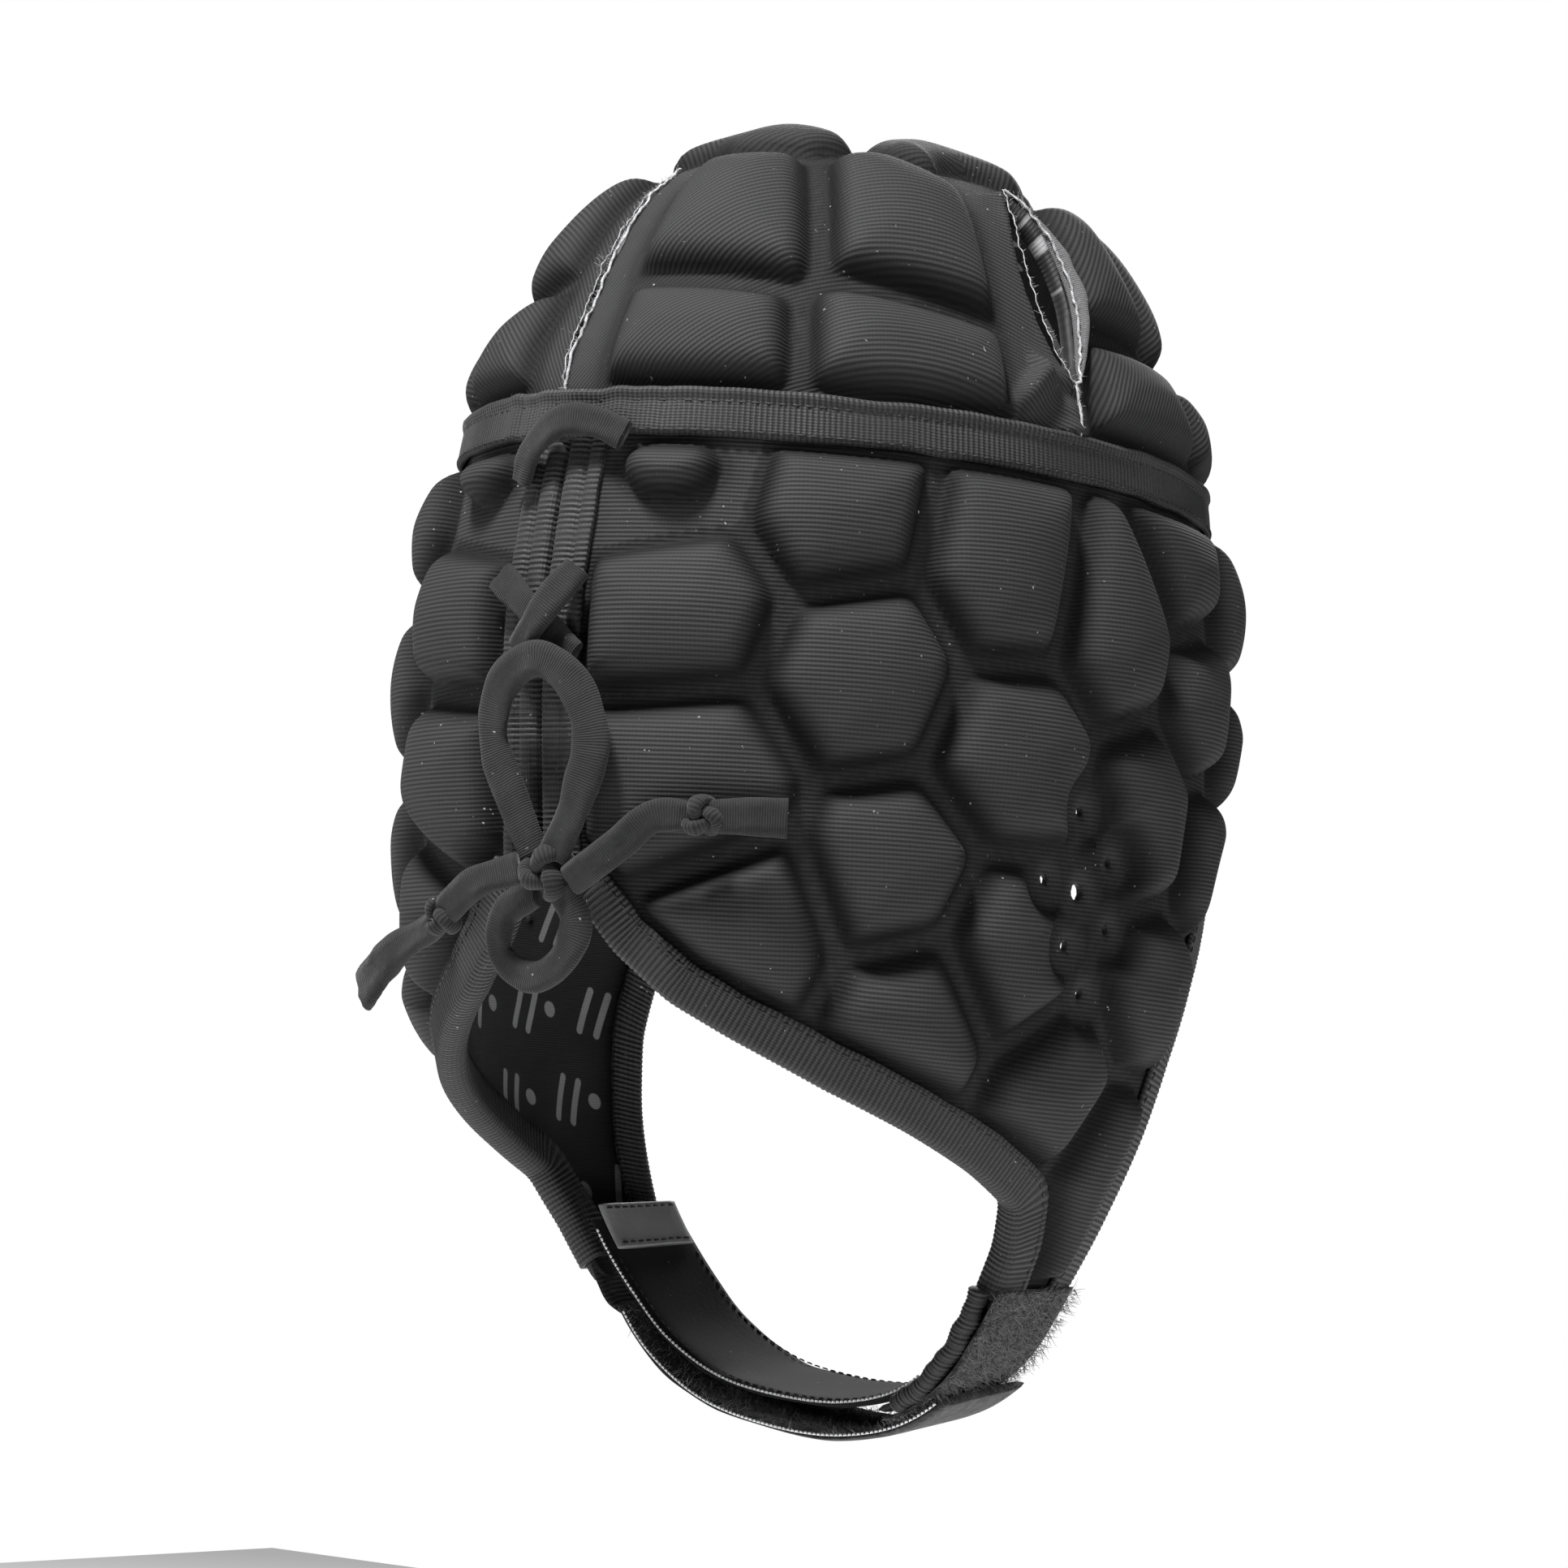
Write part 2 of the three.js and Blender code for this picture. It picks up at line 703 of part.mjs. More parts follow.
// One layer of the chin strap
function strap([from, to, start, end, thickness], width, shift) {
  const points = STRAP_PATH.map(([across, down, forward]) => (
    new THREE.Vector3(across * STRAP_HALF_SPAN, -forward * STRAP_FORWARD, -STRAP_TOP - down * STRAP_DROP)
  ));
  const path = new THREE.CatmullRomCurve3(points);
  const stations = Math.round((to - from) * STRAP_STATIONS);
  const tilt = THREE.MathUtils.degToRad(STRAP_TILT);
  const rings = [];
  for (let i = 0; i <= stations; i += 1) {
    const t = i / stations;
    const u = THREE.MathUtils.lerp(from, to, t);
    const centre = path.getPointAt(u);
    const tangent = path.getTangentAt(u);
    const across = new THREE.Vector3(0, Math.cos(tilt), -Math.sin(tilt));
    across.addScaledVector(tangent, -across.dot(tangent)).normalize();
    centre.addScaledVector(across, shift * Math.sin(Math.PI * u));
    const normal = tangent.clone().cross(across);
    const low = THREE.MathUtils.lerp(start, end, t);
    const high = low + thickness;
    const corner = (side, height) => (
      centre.clone().addScaledVector(across, (side * width) / 2).addScaledVector(normal, height)
    );
    rings.push([corner(-1, low), corner(1, low), corner(1, high), corner(-1, high)]);
  }
  return loftOut(rings);
}

// Flattened tube of lace along a few places over the shell
function lace(places) {
  const path = new THREE.CatmullRomCurve3(places.map(([angle, drop, height]) => off(angle, -drop, height)));
  const count = (places.length - 1) * LACE_STATIONS;
  const rings = [];
  for (let i = 0; i <= count; i += 1) {
    const t = i / count;
    const [angle, drop] = places[Math.round(t * (places.length - 1))];
    const centre = path.getPoint(t);
    const tangent = path.getTangent(t);
    const side = tangent.clone().cross(outward(angle, -drop)).normalize();
    const up = side.clone().cross(tangent);
    const ring = [];
    for (let k = 0; k < LACE_CORNERS; k += 1) {
      const turn = (k / LACE_CORNERS) * Math.PI * 2;
      const point = centre.clone().addScaledVector(side, (Math.cos(turn) * LACE_WIDTH) / 2);
      ring.push(point.addScaledVector(up, (Math.sin(turn) * LACE_THICK) / 2));
    }
    rings.push(ring);
  }
  return loftOut(rings);
}

function knot([angle, drop, height], size) {
  const ball = new THREE.SphereGeometry(size / 2, 7, 4);
  ball.scale(1, 0.8, 0.9);
  ball.translate(...off(angle, -drop, height).toArray());
  return solidFrom(ball);
}

const group = new THREE.Group();
group.position.z = WALL - CROWN_HEIGHT;

function piece(name, body, material) {
  const { vertProperties, triVerts } = body.getMesh();
  const geometry = new THREE.BufferGeometry();
  geometry.setAttribute("position", new THREE.BufferAttribute(new Float32Array(vertProperties), 3));
  geometry.setIndex(new THREE.BufferAttribute(new Uint32Array(triVerts), 1));
  geometry.computeVertexNormals();
  const mesh = new THREE.Mesh(geometry, material);
  mesh.name = name;
  group.add(mesh);
}

const padded = () => fabric(0x2a2a2b, 0.85);
const ribbed = () => fabric(0x232324, 0.7);

piece("crown", crown(), padded());
piece("side_panel_right", sidePanel(1), padded());
piece("side_panel_left", sidePanel(-1), padded());
piece("seam_tape", seamTape(), ribbed());
piece("back_tape_right", binding(slitEdge(1), 1, SLIT_LEG), ribbed());
piece("back_tape_left", binding(slitEdge(-1), -1, SLIT_LEG), ribbed());
piece("hem_binding_right", binding(hemEdge(1, HEM_START_ANGLE, FLAP_REAR_ANGLE), 1, HEM_LEG), ribbed());
piece("hem_binding_left", binding(hemEdge(-1, HEM_START_ANGLE, FLAP_REAR_ANGLE), -1, HEM_LEG), ribbed());
piece("face_binding", binding(faceEdge(), 1, HEM_LEG), ribbed());
piece("chin_strap_inner", strap(STRAPS.chin_strap_inner, STRAP_WIDTH, 0), fabric(0x1c1c1d, 0.55));
piece("flap_tab", strap(STRAPS.flap_tab, TAB_WIDTH, 0), fabric(0x6e6e70, 0.6));
piece("chin_strap_outer", strap(STRAPS.chin_strap_outer, STRAP_WIDTH, PILE_SHIFT), fabric(0x222223, 0.95));
piece("flap_strap_right", strap(STRAPS.flap_strap_right, STRAP_WIDTH, PILE_SHIFT), ribbed());
piece("loop_patch", strap(STRAPS.loop_patch, STRAP_WIDTH, PILE_SHIFT), fabric(0x222223, 0.95));

const bowKnot = knot(KNOT_PLACE, KNOT);
const knotRoom = knot(KNOT_PLACE, KNOT + 2 * FIT);
for (const [name, places] of Object.entries(LACE)) {
  let body = lace(places);
  if (TAIL_KNOTS[name]) {
    body = body.add(knot(TAIL_KNOTS[name], TAIL_KNOT));
  }
  piece(name, body.subtract(knotRoom), fabric(0x2b2b2c, 0.9));
}
piece("lace_knot", bowKnot, fabric(0x2b2b2c, 0.9));

export default group;
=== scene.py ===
"""Rugby scrum cap: padded knit panels, ribbed tapes, jersey lace and a hook-and-loop chin strap."""
import math
import bmesh
import bpy
import numpy as np
from mathutils import Matrix, Vector


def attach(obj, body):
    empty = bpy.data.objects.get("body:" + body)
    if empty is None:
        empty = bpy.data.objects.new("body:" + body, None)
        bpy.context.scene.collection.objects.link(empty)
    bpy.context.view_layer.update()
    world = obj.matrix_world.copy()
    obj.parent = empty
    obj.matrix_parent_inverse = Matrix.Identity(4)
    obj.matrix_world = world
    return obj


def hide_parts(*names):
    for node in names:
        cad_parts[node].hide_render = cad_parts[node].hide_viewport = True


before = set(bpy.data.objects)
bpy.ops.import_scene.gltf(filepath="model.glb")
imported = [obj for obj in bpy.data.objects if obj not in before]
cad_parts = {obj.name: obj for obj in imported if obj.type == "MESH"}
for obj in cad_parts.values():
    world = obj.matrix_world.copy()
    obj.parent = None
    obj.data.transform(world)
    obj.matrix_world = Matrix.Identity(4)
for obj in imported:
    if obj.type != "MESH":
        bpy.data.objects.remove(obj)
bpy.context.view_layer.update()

# Sizes in millimetres, measured from the seam tape's plane, as in the CAD
HALF_WIDTH, BACK_DEPTH, FRONT_DEPTH = 84, 106, 103
CROWN_HEIGHT, SKIRT_DROP, WALL = 80, 186, 3
SIDE_RISE, CROWN_RISE = 7.5, 6.5
TAPE, FIT, SEAM_FIT, FOLD_FIT = 1.2, 0.4, 0.75, 1.1
HEM_LEG, SLIT_LEG, SEAM_TAPE_WIDTH, SEAM_TAPE_LOW = 8.5, 8, 11, 1.5
SLIT_MARGIN, BACK_SLIT, JOINT_GAP = 11, 2, 0.15
EAR_HOLE, EAR_HOLE_BIG, EAR_MARGIN = 6, 8, 4
STRAP_WIDTH, TAB_WIDTH, STRAP_THICK, PATCH, LAYER_GAP = 33, 28, 2, 1.2, 0.3
STRAP_TILT, STRAP_HALF_SPAN, STRAP_TOP, STRAP_DROP = 7, 61, 163, 45
STRAP_FORWARD, PILE_SHIFT = 8, 6
FLAP_TUCK, TUCK_START = 6, 0.76
LACE_THICK, KNOT = 3, 13
SLIT_START, SLIT_END, SLIT_BLUNT = 0.07, 0.62, 0.35

# Sizes that the scene alone has: drawn widths, shares of the ear holes, ribs of the cloths
CHANNEL = 4.8
LACE_DRAWN, BOW_DRAWN, TAIL_KNOT_DRAWN = 7.0, 8.2, 9.5
HOLE_SHARE, BIG_HOLE_SHARE, HOLE_DIP, HOLE_DIP_REACH = 0.44, 0.52, 1.1, 1.5
RIB, TAPE_RIB, BACK_TAPE_RIB, RIB_HIGH = 0.95, 1.25, 1.1, 0.14
MOTIF_WIDE, MOTIF_HIGH = 25.0, 22.0
SEAM_LENGTH, SEAM_RIBS = 565, 440
# Shape of a pad by the distance from its edge
SHOULDER_REACH, SHOULDER_POWER, DOME_REACH, DOME_POWER, PAD_SHARE = 6.0, 2.4, 19.0, 2.2, 0.56
OVAL_REACH, OVAL_SQUASH, FULL_REACH = 20, 1.6, 40
PLEAT_HIGH, PLEAT_STEEP, PLEAT_SOFT = 5.2, 1.4, 5.0
# Points along and across the panels, and rows of the crown below, beside and above the slits
SIDE_GRID, GORE_COLUMNS, CROWN_ROWS = (300, 128), 105, (6, 65, 33)
DEGREE_WIDE, CROWN_REACH, GORE_TURNS = 1.6, 112, (52, -38, 40, -46)
NOISE_CHUNK = 3000

# drop, width, back, front
SECTIONS = [
    [0, 0.93, 0.945, 0.97], [0.11, 0.976, 0.98, 0.99], [0.24, 1, 1, 1], [0.43, 1.005, 0.972, 0.985],
    [0.59, 1, 0.925, 0.955], [0.75, 0.93, 0.86, 0.91], [0.88, 0.825, 0.81, 0.86], [1, 0.7, 0.765, 0.8],
    [1.2, 0.49, 0.7, 0.7],
]
# way, radius, height
DOME = [
    [0, 1, 0], [0.13, 0.965, 0.19], [0.27, 0.87, 0.38], [0.4, 0.775, 0.575], [0.55, 0.64, 0.775],
    [0.69, 0.47, 0.905], [1, 0, 1], [1.31, -0.47, 0.905],
]
# angle, share of SKIRT_DROP
HEM = [
    [0, 0.5], [6, 0.535], [12, 0.597], [20, 0.65], [29, 0.687], [43, 0.738], [57, 0.782], [70, 0.826],
    [80, 0.865], [83, 0.925], [84, 1], [102, 1], [104, 0.9], [106, 0.79], [108, 0.68], [112, 0.58],
    [119, 0.48], [128, 0.38], [140, 0.28], [155, 0.225], [180, 0.205],
]
HEM_CORNERS = (83.7, 102)
# angle, share of SKIRT_DROP, reach
SIDE_PADS = [
    [18, 0.045, 10.5], [41, 0.085, 40], [66, 0.135, 40], [22, 0.2, 40], [46, 0.27, 40], [68, 0.35, 40],
    [24, 0.41, 40], [50, 0.5, 40], [68, 0.575, 40], [31, 0.57, 40], [54, 0.655, 40], [80, 0.73, 40],
    [85, 0.18, 40], [92, 0.4, 40], [97, 0.61, 40], [95, 0.8, 40], [103, 0.08, 40], [107, 0.24, 40],
    [111, 0.44, 40], [125, 0.11, 40], [125, 0.29, 40], [147, 0.1, 40], [169, 0.1, 40],
]
# angle, way
CROWN_PADS = [
    [19, 0.175], [50, 0.175], [19, 0.445], [50, 0.445], [-22, 0.175], [-50, 0.175], [-30, 0.445],
    [-58, 0.445], [98, 0.175], [130, 0.175], [160, 0.175], [99, 0.445], [129, 0.445], [159, 0.445],
    [-98, 0.175], [-130, 0.175], [-160, 0.175], [-103, 0.445], [-131, 0.445], [-159, 0.445],
    [-6, 0.8], [80, 0.8], [170, 0.8], [-95, 0.8],
]
# angle at the tape, angle at the top, opening, share that stays shut
CROWN_SLITS = [[-3, -14, 2.4, 0], [79, 84, 15, 0.2], [180, 180, 2.4, 0], [-79, -84, 5, 0]]
EAR_HOLES = [[80, 0.4], [86, 0.455], [74, 0.485], [86, 0.535], [78, 0.56], [82, 0.615]]
EAR_CENTRE = [80, 0.495]
# Ends of the crease below the open slit: angle, way
PLEAT = [[67.5, 0.1], [73.5, 0.185]]
# across, down, forward
STRAP_PATH = [
    [0.98, 0, 0.9], [0.84, 0.29, 0.95], [0.685, 0.53, 1], [0.51, 0.74, 1], [0.26, 0.91, 1],
    [0, 0.98, 0.95], [-0.35, 0.99, 0.9], [-0.63, 0.89, 0.8], [-0.81, 0.7, 0.65], [-0.9, 0.5, 0.55],
    [-0.97, 0.28, 0.5],
]
# start and end on the strap's line, inner face's height at both, thickness
STRAPS = {
    "chin_strap_inner": [0.06, 0.84, -STRAP_THICK, -STRAP_THICK, STRAP_THICK],
    "flap_tab": [0.04, 0.12, -STRAP_THICK - LAYER_GAP - PATCH, -STRAP_THICK - LAYER_GAP - PATCH, PATCH],
    "chin_strap_outer": [0.21, 0.83, 0.5, 6.4, STRAP_THICK],
    "flap_strap_right": [0.74, 0.96, 0.5, 0.2, STRAP_THICK],
    "loop_patch": [0.74, 0.985, 2.9, 4.8, PATCH],
    "flap_tip": [0.035, 0.235, 3.2, 3.6, 1.6],
}
# angle, share of SKIRT_DROP, height above the face
LACE = {
    "lace_bridge": [[-6.5, 0.065, 3.5], [-4.5, 0.03, 5.4], [1, 0, 6.4], [6, 0, 5.2], [11, 0.014, 3.7]],
    "lace_cross_a": [[-6.8, 0.178, 4.4], [-2.5, 0.205, 4], [2.5, 0.238, 3.8], [7, 0.27, 3.8]],
    "lace_cross_b": [[7, 0.172, 4.8], [5, 0.2, 7], [2.5, 0.23, 7.8], [-2, 0.262, 4.6]],
    "bow_loop": [
        [2, 0.492, 7], [-1, 0.43, 8], [-4, 0.36, 8.5], [-2, 0.3, 9], [4, 0.275, 10],
        [9, 0.3, 10], [12, 0.36, 11], [10, 0.43, 11], [5.5, 0.492, 8],
    ],
    "lower_loop": [
        [1, 0.535, 5], [-5, 0.56, 5], [-6, 0.605, 5.5], [0, 0.63, 6], [6, 0.605, 7], [8, 0.565, 7],
        [6, 0.53, 7],
    ],
    "lace_tail_right": [
        [8, 0.52, 8.5], [12, 0.5, 11], [16, 0.475, 11.5], [20, 0.447, 11.5], [26, 0.445, 11.5],
        [31, 0.443, 11.5], [36, 0.443, 11.5],
    ],
    "lace_tail_left": [
        [0.2, 0.506, 9], [-6, 0.522, 11.5], [-10, 0.543, 12], [-15, 0.57, 12], [-22, 0.595, 15],
        [-29, 0.635, 19],
    ],
}
KNOT_PLACE = [4, 0.511, 7]
TAIL_KNOTS = {"lace_tail_right": [26, 0.445, 11.5], "lace_tail_left": [-13, 0.56, 11.5]}
# How much the free ends widen
FLARES = {"lace_tail_left": 0.62, "lace_tail_right": 0.2}

# Camera fitted to the photograph, in the same millimetres
IMAGE, SENSOR = 1932, 36
VIEW_TURN, VIEW_RISE, VIEW_ROLL = 36.5, -5.0, 3.4
DISTANCE, MM_PER_PIXEL = 1000, 0.19
AIM, AIM_PIXEL = (0, 0, -60), (1019, 934)
# Place, point aimed at and size in metres, power in watts
LIGHTS = {
    "key": [(0.05, 1.15, 2.1), (0, 0, -0.08), 0.5, 158],
    "side": [(1.6, 1.2, 0.5), (0, 0, -0.1), 0.6, 10],
    "fill": [(-2.0, 0.3, 1.0), (0, 0, -0.1), 0.6, 18],
    "far_side": [(0.9, -1.6, 0.9), (0, 0, -0.1), 1.0, 24],
}
AMBIENT = 0.035
FLOOR_HALF, FLOOR_DROP, FLOOR_TONE = 2000, 520, 0.95


def metres(p):
    """Row-frame metres of points in the millimetres used here."""
    return (np.asarray(p, float) + [0, 0, WALL - CROWN_HEIGHT]) * 0.001


def camera():
    turn, rise, roll = (math.radians(x) for x in (VIEW_TURN, VIEW_RISE, VIEW_ROLL))
    back = np.array([-math.sin(turn) * math.cos(rise), math.cos(turn) * math.cos(rise), math.sin(rise)])
    level = np.cross(-back, [0, 0, 1])
    level /= np.linalg.norm(level)
    above = np.cross(level, -back)
    right = level * math.cos(roll) + above * math.sin(roll)
    up = above * math.cos(roll) - level * math.sin(roll)
    aside, down = ((p - IMAGE / 2) * MM_PER_PIXEL for p in AIM_PIXEL)
    spot = np.array(AIM, float) - right * aside + up * down + back * DISTANCE
    data = bpy.data.cameras.new("camera")
    data.sensor_width = SENSOR
    data.lens = DISTANCE / MM_PER_PIXEL / IMAGE * SENSOR
    data.clip_start, data.clip_end = 0.05, 30
    item = bpy.data.objects.new("camera", data)
    bpy.context.scene.collection.objects.link(item)
    item.matrix_world = Matrix.Translation(metres(spot)) @ Matrix((right, up, back)).transposed().to_4x4()
    bpy.context.scene.camera = item


# Places on the shell's face, by angle from the back and level
def along(rows, x, column):
    """Smooth value of one column of a table at each x."""
    rows = np.asarray(rows, float)
    x = np.asarray(x, float)
    xs, ys = rows[:, 0], rows[:, column]
    i = np.clip(np.searchsorted(xs, x, side="left") - 1, 0, len(xs) - 2)
    before = np.maximum(np.arange(len(xs)) - 1, 0)
    after = np.minimum(np.arange(len(xs)) + 1, len(xs) - 1)
    slope = (ys[after] - ys[before]) / (xs[after] - xs[before])
    step = xs[i + 1] - xs[i]
    t = (x - xs[i]) / step
    bend = (1 + 2 * t) * (1 - t) ** 2 * ys[i] + t * t * (3 - 2 * t) * ys[i + 1]
    return bend + step * t * (1 - t) * ((1 - t) * slope[i] - t * slope[i + 1])


def face(angle, level):
    """Outer face of the shell. Level runs from -1 at the flap ends to 0 at the tape and 1 at the top."""
    angle, level = np.broadcast_arrays(np.asarray(angle, float), np.asarray(level, float))
    drop, way = np.maximum(-level, 0), np.maximum(level, 0)
    radius = np.where(level > 0, along(DOME, way, 1), 1)
    height = np.where(level > 0, along(DOME, way, 2) * CROWN_HEIGHT, -drop * SKIRT_DROP)
    a = np.radians(angle)
    back, front = along(SECTIONS, drop, 2) * BACK_DEPTH, along(SECTIONS, drop, 3) * FRONT_DEPTH
    depth = np.where(np.cos(a) > 0, back, front)
    width = along(SECTIONS, drop, 1) * HALF_WIDTH
    low = np.maximum((drop - TUCK_START) / (1 - TUCK_START), 0) ** 2
    tuck = np.where(np.sin(a) < 0, FLAP_TUCK * low, 0)
    return np.stack([-width * radius * np.sin(a) - tuck, depth * radius * np.cos(a), height], -1)


def unit(v):
    return v / np.maximum(np.linalg.norm(v, axis=-1, keepdims=True), 1e-9)


def slopes(angle, level):
    """How the face moves with the angle and with the level."""
    da, dl = 0.5, 0.004
    by_angle = (face(angle + da, level) - face(angle - da, level)) / (2 * da)
    by_level = (face(angle, level + dl) - face(angle, level - dl)) / (2 * dl)
    return by_angle, by_level


def outward(angle, level):
    u, v = slopes(angle, level)
    at_top = np.broadcast_to(level, u.shape[:-1]) > 0.995
    return np.where(at_top[..., None], [0.0, 0.0, 1.0], unit(np.cross(u, v)))


def off(angle, level, height):
    """Places at a height above the face."""
    return face(angle, level) + outward(angle, level) * np.asarray(height)[..., None]


def walk(angle, level, direction, distance):
    """Angle and level a short way from each place on the face, in a direction in space."""
    steps = 6
    angle, level = np.array(angle, float), np.array(level, float)
    distance = np.asarray(distance, float)
    for _ in range(steps):
        u, v = slopes(angle, level)
        goal = direction * (distance / steps)[..., None]
        uu, uv, vv = (u * u).sum(-1), (u * v).sum(-1), (v * v).sum(-1)
        gu, gv = (goal * u).sum(-1), (goal * v).sum(-1)
        det = uu * vv - uv * uv
        angle = angle + (gu * vv - gv * uv) / det
        level = level + (gv * uu - gu * uv) / det
    return angle, level


# Lines and noise
def run_length(points):
    """Distance along a line at each of its points."""
    return np.concatenate([[0], np.cumsum(np.linalg.norm(np.diff(points, axis=0), axis=1))])


def picked(rows, at, places):
    """A line's rows read off at other places along it."""
    rows = np.asarray(rows, float)
    return np.stack([np.interp(at, places, rows[:, k]) for k in range(rows.shape[1])], -1)


def resample(points, count, *others):
    """Points spaced evenly along a line, with other columns carried along."""
    far = run_length(points)
    at = np.linspace(0, far[-1], count)
    return [picked(rows, at, far) for rows in (points, *others)]


def smoothed(rows, width):
    """A line's rows averaged along it, with its ends held."""
    size = int(3 * width)
    kernel = np.exp(-0.5 * (np.arange(-size, size + 1) / width) ** 2)
    kernel /= kernel.sum()
    padded = np.concatenate([2 * rows[0] - rows[size:0:-1], rows, 2 * rows[-1] - rows[-2:-size - 2:-1]])
    return np.stack([np.convolve(padded[:, k], kernel, "valid") for k in range(rows.shape[1])], -1)


def catmull(points, count):
    """Centripetal Catmull-Rom curve through points."""
    p = np.concatenate([[2 * points[0] - points[1]], points, [2 * points[-1] - points[-2]]])
    t = np.linspace(0, 1, count) * (len(p) - 3)
    i = np.minimum(t.astype(int), len(p) - 4)
    w = (t - i)[:, None]
    a, b, c, d = (p[i + k] for k in range(4))
    ab, bc, cd = (np.maximum(np.linalg.norm(y - x, axis=1, keepdims=True), 1e-4) ** 0.5
                  for x, y in ((a, b), (b, c), (c, d)))
    m1 = ((b - a) / ab - (c - a) / (ab + bc) + (c - b) / bc) * bc
    m2 = ((c - b) / bc - (d - b) / (bc + cd) + (d - c) / cd) * bc
    return b + m1 * w + (-3 * b + 3 * c - 2 * m1 - m2) * w ** 2 + (2 * b - 2 * c + m1 + m2) * w ** 3


def waves(x, seed, scale):
    """Smooth one-dimensional noise of about unit size."""
    made = np.random.default_rng(seed)
    total = np.zeros_like(x)
    for k in range(5):
        total = total + np.sin(x / scale * (1 + k * 0.83) + made.uniform(0, 2 * np.pi)) / (1 + 0.6 * k)
    return total / 2


def cloud(p, seed, scale):
    """Smooth noise in space of about unit size."""
    made = np.random.default_rng(seed)
    terms = 10
    total = 0
    for _ in range(terms):
        way = unit(made.normal(size=3)) * made.uniform(0.7, 1.8) / scale
        total = total + np.sin(p @ way + made.uniform(0, 2 * np.pi))
    return total / math.sqrt(terms)


# Meshes
def mesh_piece(name, points, quads, materials, uv=None, slots=None, smooth=True, shade=None):
    """Object from millimetre points and quads or triangles, with corner UVs in millimetres and, if shade is
    given, a second UV layer of painted shade.
    """
    mesh = bpy.data.meshes.new(name)
    mesh.from_pydata(metres(points).tolist(), [], [list(map(int, q)) for q in quads])
    for material in materials:
        mesh.materials.append(material)
    if slots is not None:
        mesh.polygons.foreach_set("material_index", np.asarray(slots, np.int32))
    layer = mesh.uv_layers.new(name="mm")
    corner = np.empty(len(mesh.loops), np.int32)
    mesh.loops.foreach_get("vertex_index", corner)
    if uv is None:
        uv = np.asarray(points, float)[:, [0, 2]]
    layer.data.foreach_set("uv", np.asarray(uv, float)[corner].astype(np.float32).ravel())
    # Painted shade for the padded knit goes in a second UV layer.
    if shade is not None:
        painted_shade = mesh.uv_layers.new(name="painted_shade")
        shade = np.stack([shade, 0 * shade], -1).astype(np.float32)
        painted_shade.data.foreach_set("uv", shade[corner].ravel())
    mesh.polygons.foreach_set("use_smooth", np.full(len(mesh.polygons), smooth))
    mesh.update()
    item = bpy.data.objects.new(name, mesh)
    bpy.context.scene.collection.objects.link(item)
    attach(item, "root")
    return item


def finished(item, slot, *nodes):
    """The piece, with the nodes that it stands for hidden. The slot argument is not used."""
    if nodes:
        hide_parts(*nodes)
    return item


def grid_quads(nu, nv, start=0):
    """Quads of a grid of nu by nv points."""
    i, j = (m.ravel() for m in np.meshgrid(np.arange(nu - 1), np.arange(nv - 1), indexing="ij"))
    return np.stack([i * nv + j, (i + 1) * nv + j, (i + 1) * nv + j + 1, i * nv + j + 1], -1) + start


def walls(quads, count, skip=None):
    """Quads that join the open edges of one layer to the same edges of a second, count points on."""
    edges = np.concatenate([quads[:, [k, (k + 1) % 4]] for k in range(4)])
    key = edges[:, 0].astype(np.int64) * count + edges[:, 1]
    back = edges[:, 1].astype(np.int64) * count + edges[:, 0]
    rim = edges[~np.isin(key, back)]
    if skip is not None:
        rim = rim[~(skip[rim[:, 0]] & skip[rim[:, 1]])]
    return np.stack([rim[:, 1], rim[:, 0], rim[:, 0] + count, rim[:, 1] + count], -1)


def facing_out(points, quads, centre):
    """The quads, turned so that they face away from the centre on the whole."""
    p = points[quads]
    normal = np.cross(p[:, 1] - p[:, 0], p[:, 3] - p[:, 0])
    return quads if (normal * (p.mean(1) - centre)).sum() > 0 else quads[:, ::-1]


def sweep(name, rings, material, slot, *nodes, uv=None, closed=False):
    """Tube through rings of points, n by k by 3, with flat ends unless closed."""
    n, k, _ = rings.shape
    points = rings.reshape(-1, 3)
    i, j = (m.ravel() for m in np.meshgrid(np.arange(n if closed else n - 1), np.arange(k), indexing="ij"))
    after, beside = (i + 1) % n * k, (j + 1) % k
    quads = np.stack([i * k + j, i * k + beside, after + beside, after + j], -1)
    faces = quads.tolist()
    if not closed:
        faces += [list(range(k))[::-1], [(n - 1) * k + m for m in range(k)]]
    p = points[quads] - points.mean(0)
    volume = (p[:, 0] * (np.cross(p[:, 1], p[:, 2]) + np.cross(p[:, 2], p[:, 3]))).sum()
    if volume < 0:
        faces = [f[::-1] for f in faces]
    if uv is None:
        around = np.linspace(0, 1, k) * np.linalg.norm(np.diff(rings[0], axis=0), axis=1).sum()
        uv = spread_out(run_length(rings.mean(1)), around)
    return finished(mesh_piece(name, points, faces, [material], uv), slot, *nodes)


def spread_out(far, around):
    """UVs of a tube from the distances along it and round it."""
    return np.stack(np.meshgrid(far, around, indexing="ij"), -1).reshape(-1, 2)


def oval_rings(centre, side, up, half, thick, count):
    """Oval rings round a line, with a half width and a half thickness along it."""
    turns = np.linspace(0, 2 * math.pi, count, endpoint=False)
    return np.stack([centre + side * (half * math.cos(a))[:, None] + up * (thick * math.sin(a))[:, None]
                     for a in turns], 1)


def weld(item, distance):
    """Joins vertices that lie together, and drops what collapses."""
    work = bmesh.new()
    work.from_mesh(item.data)
    bmesh.ops.remove_doubles(work, verts=work.verts, dist=distance)
    bmesh.ops.dissolve_degenerate(work, edges=work.edges, dist=distance / 4)
    work.to_mesh(item.data)
    work.free()


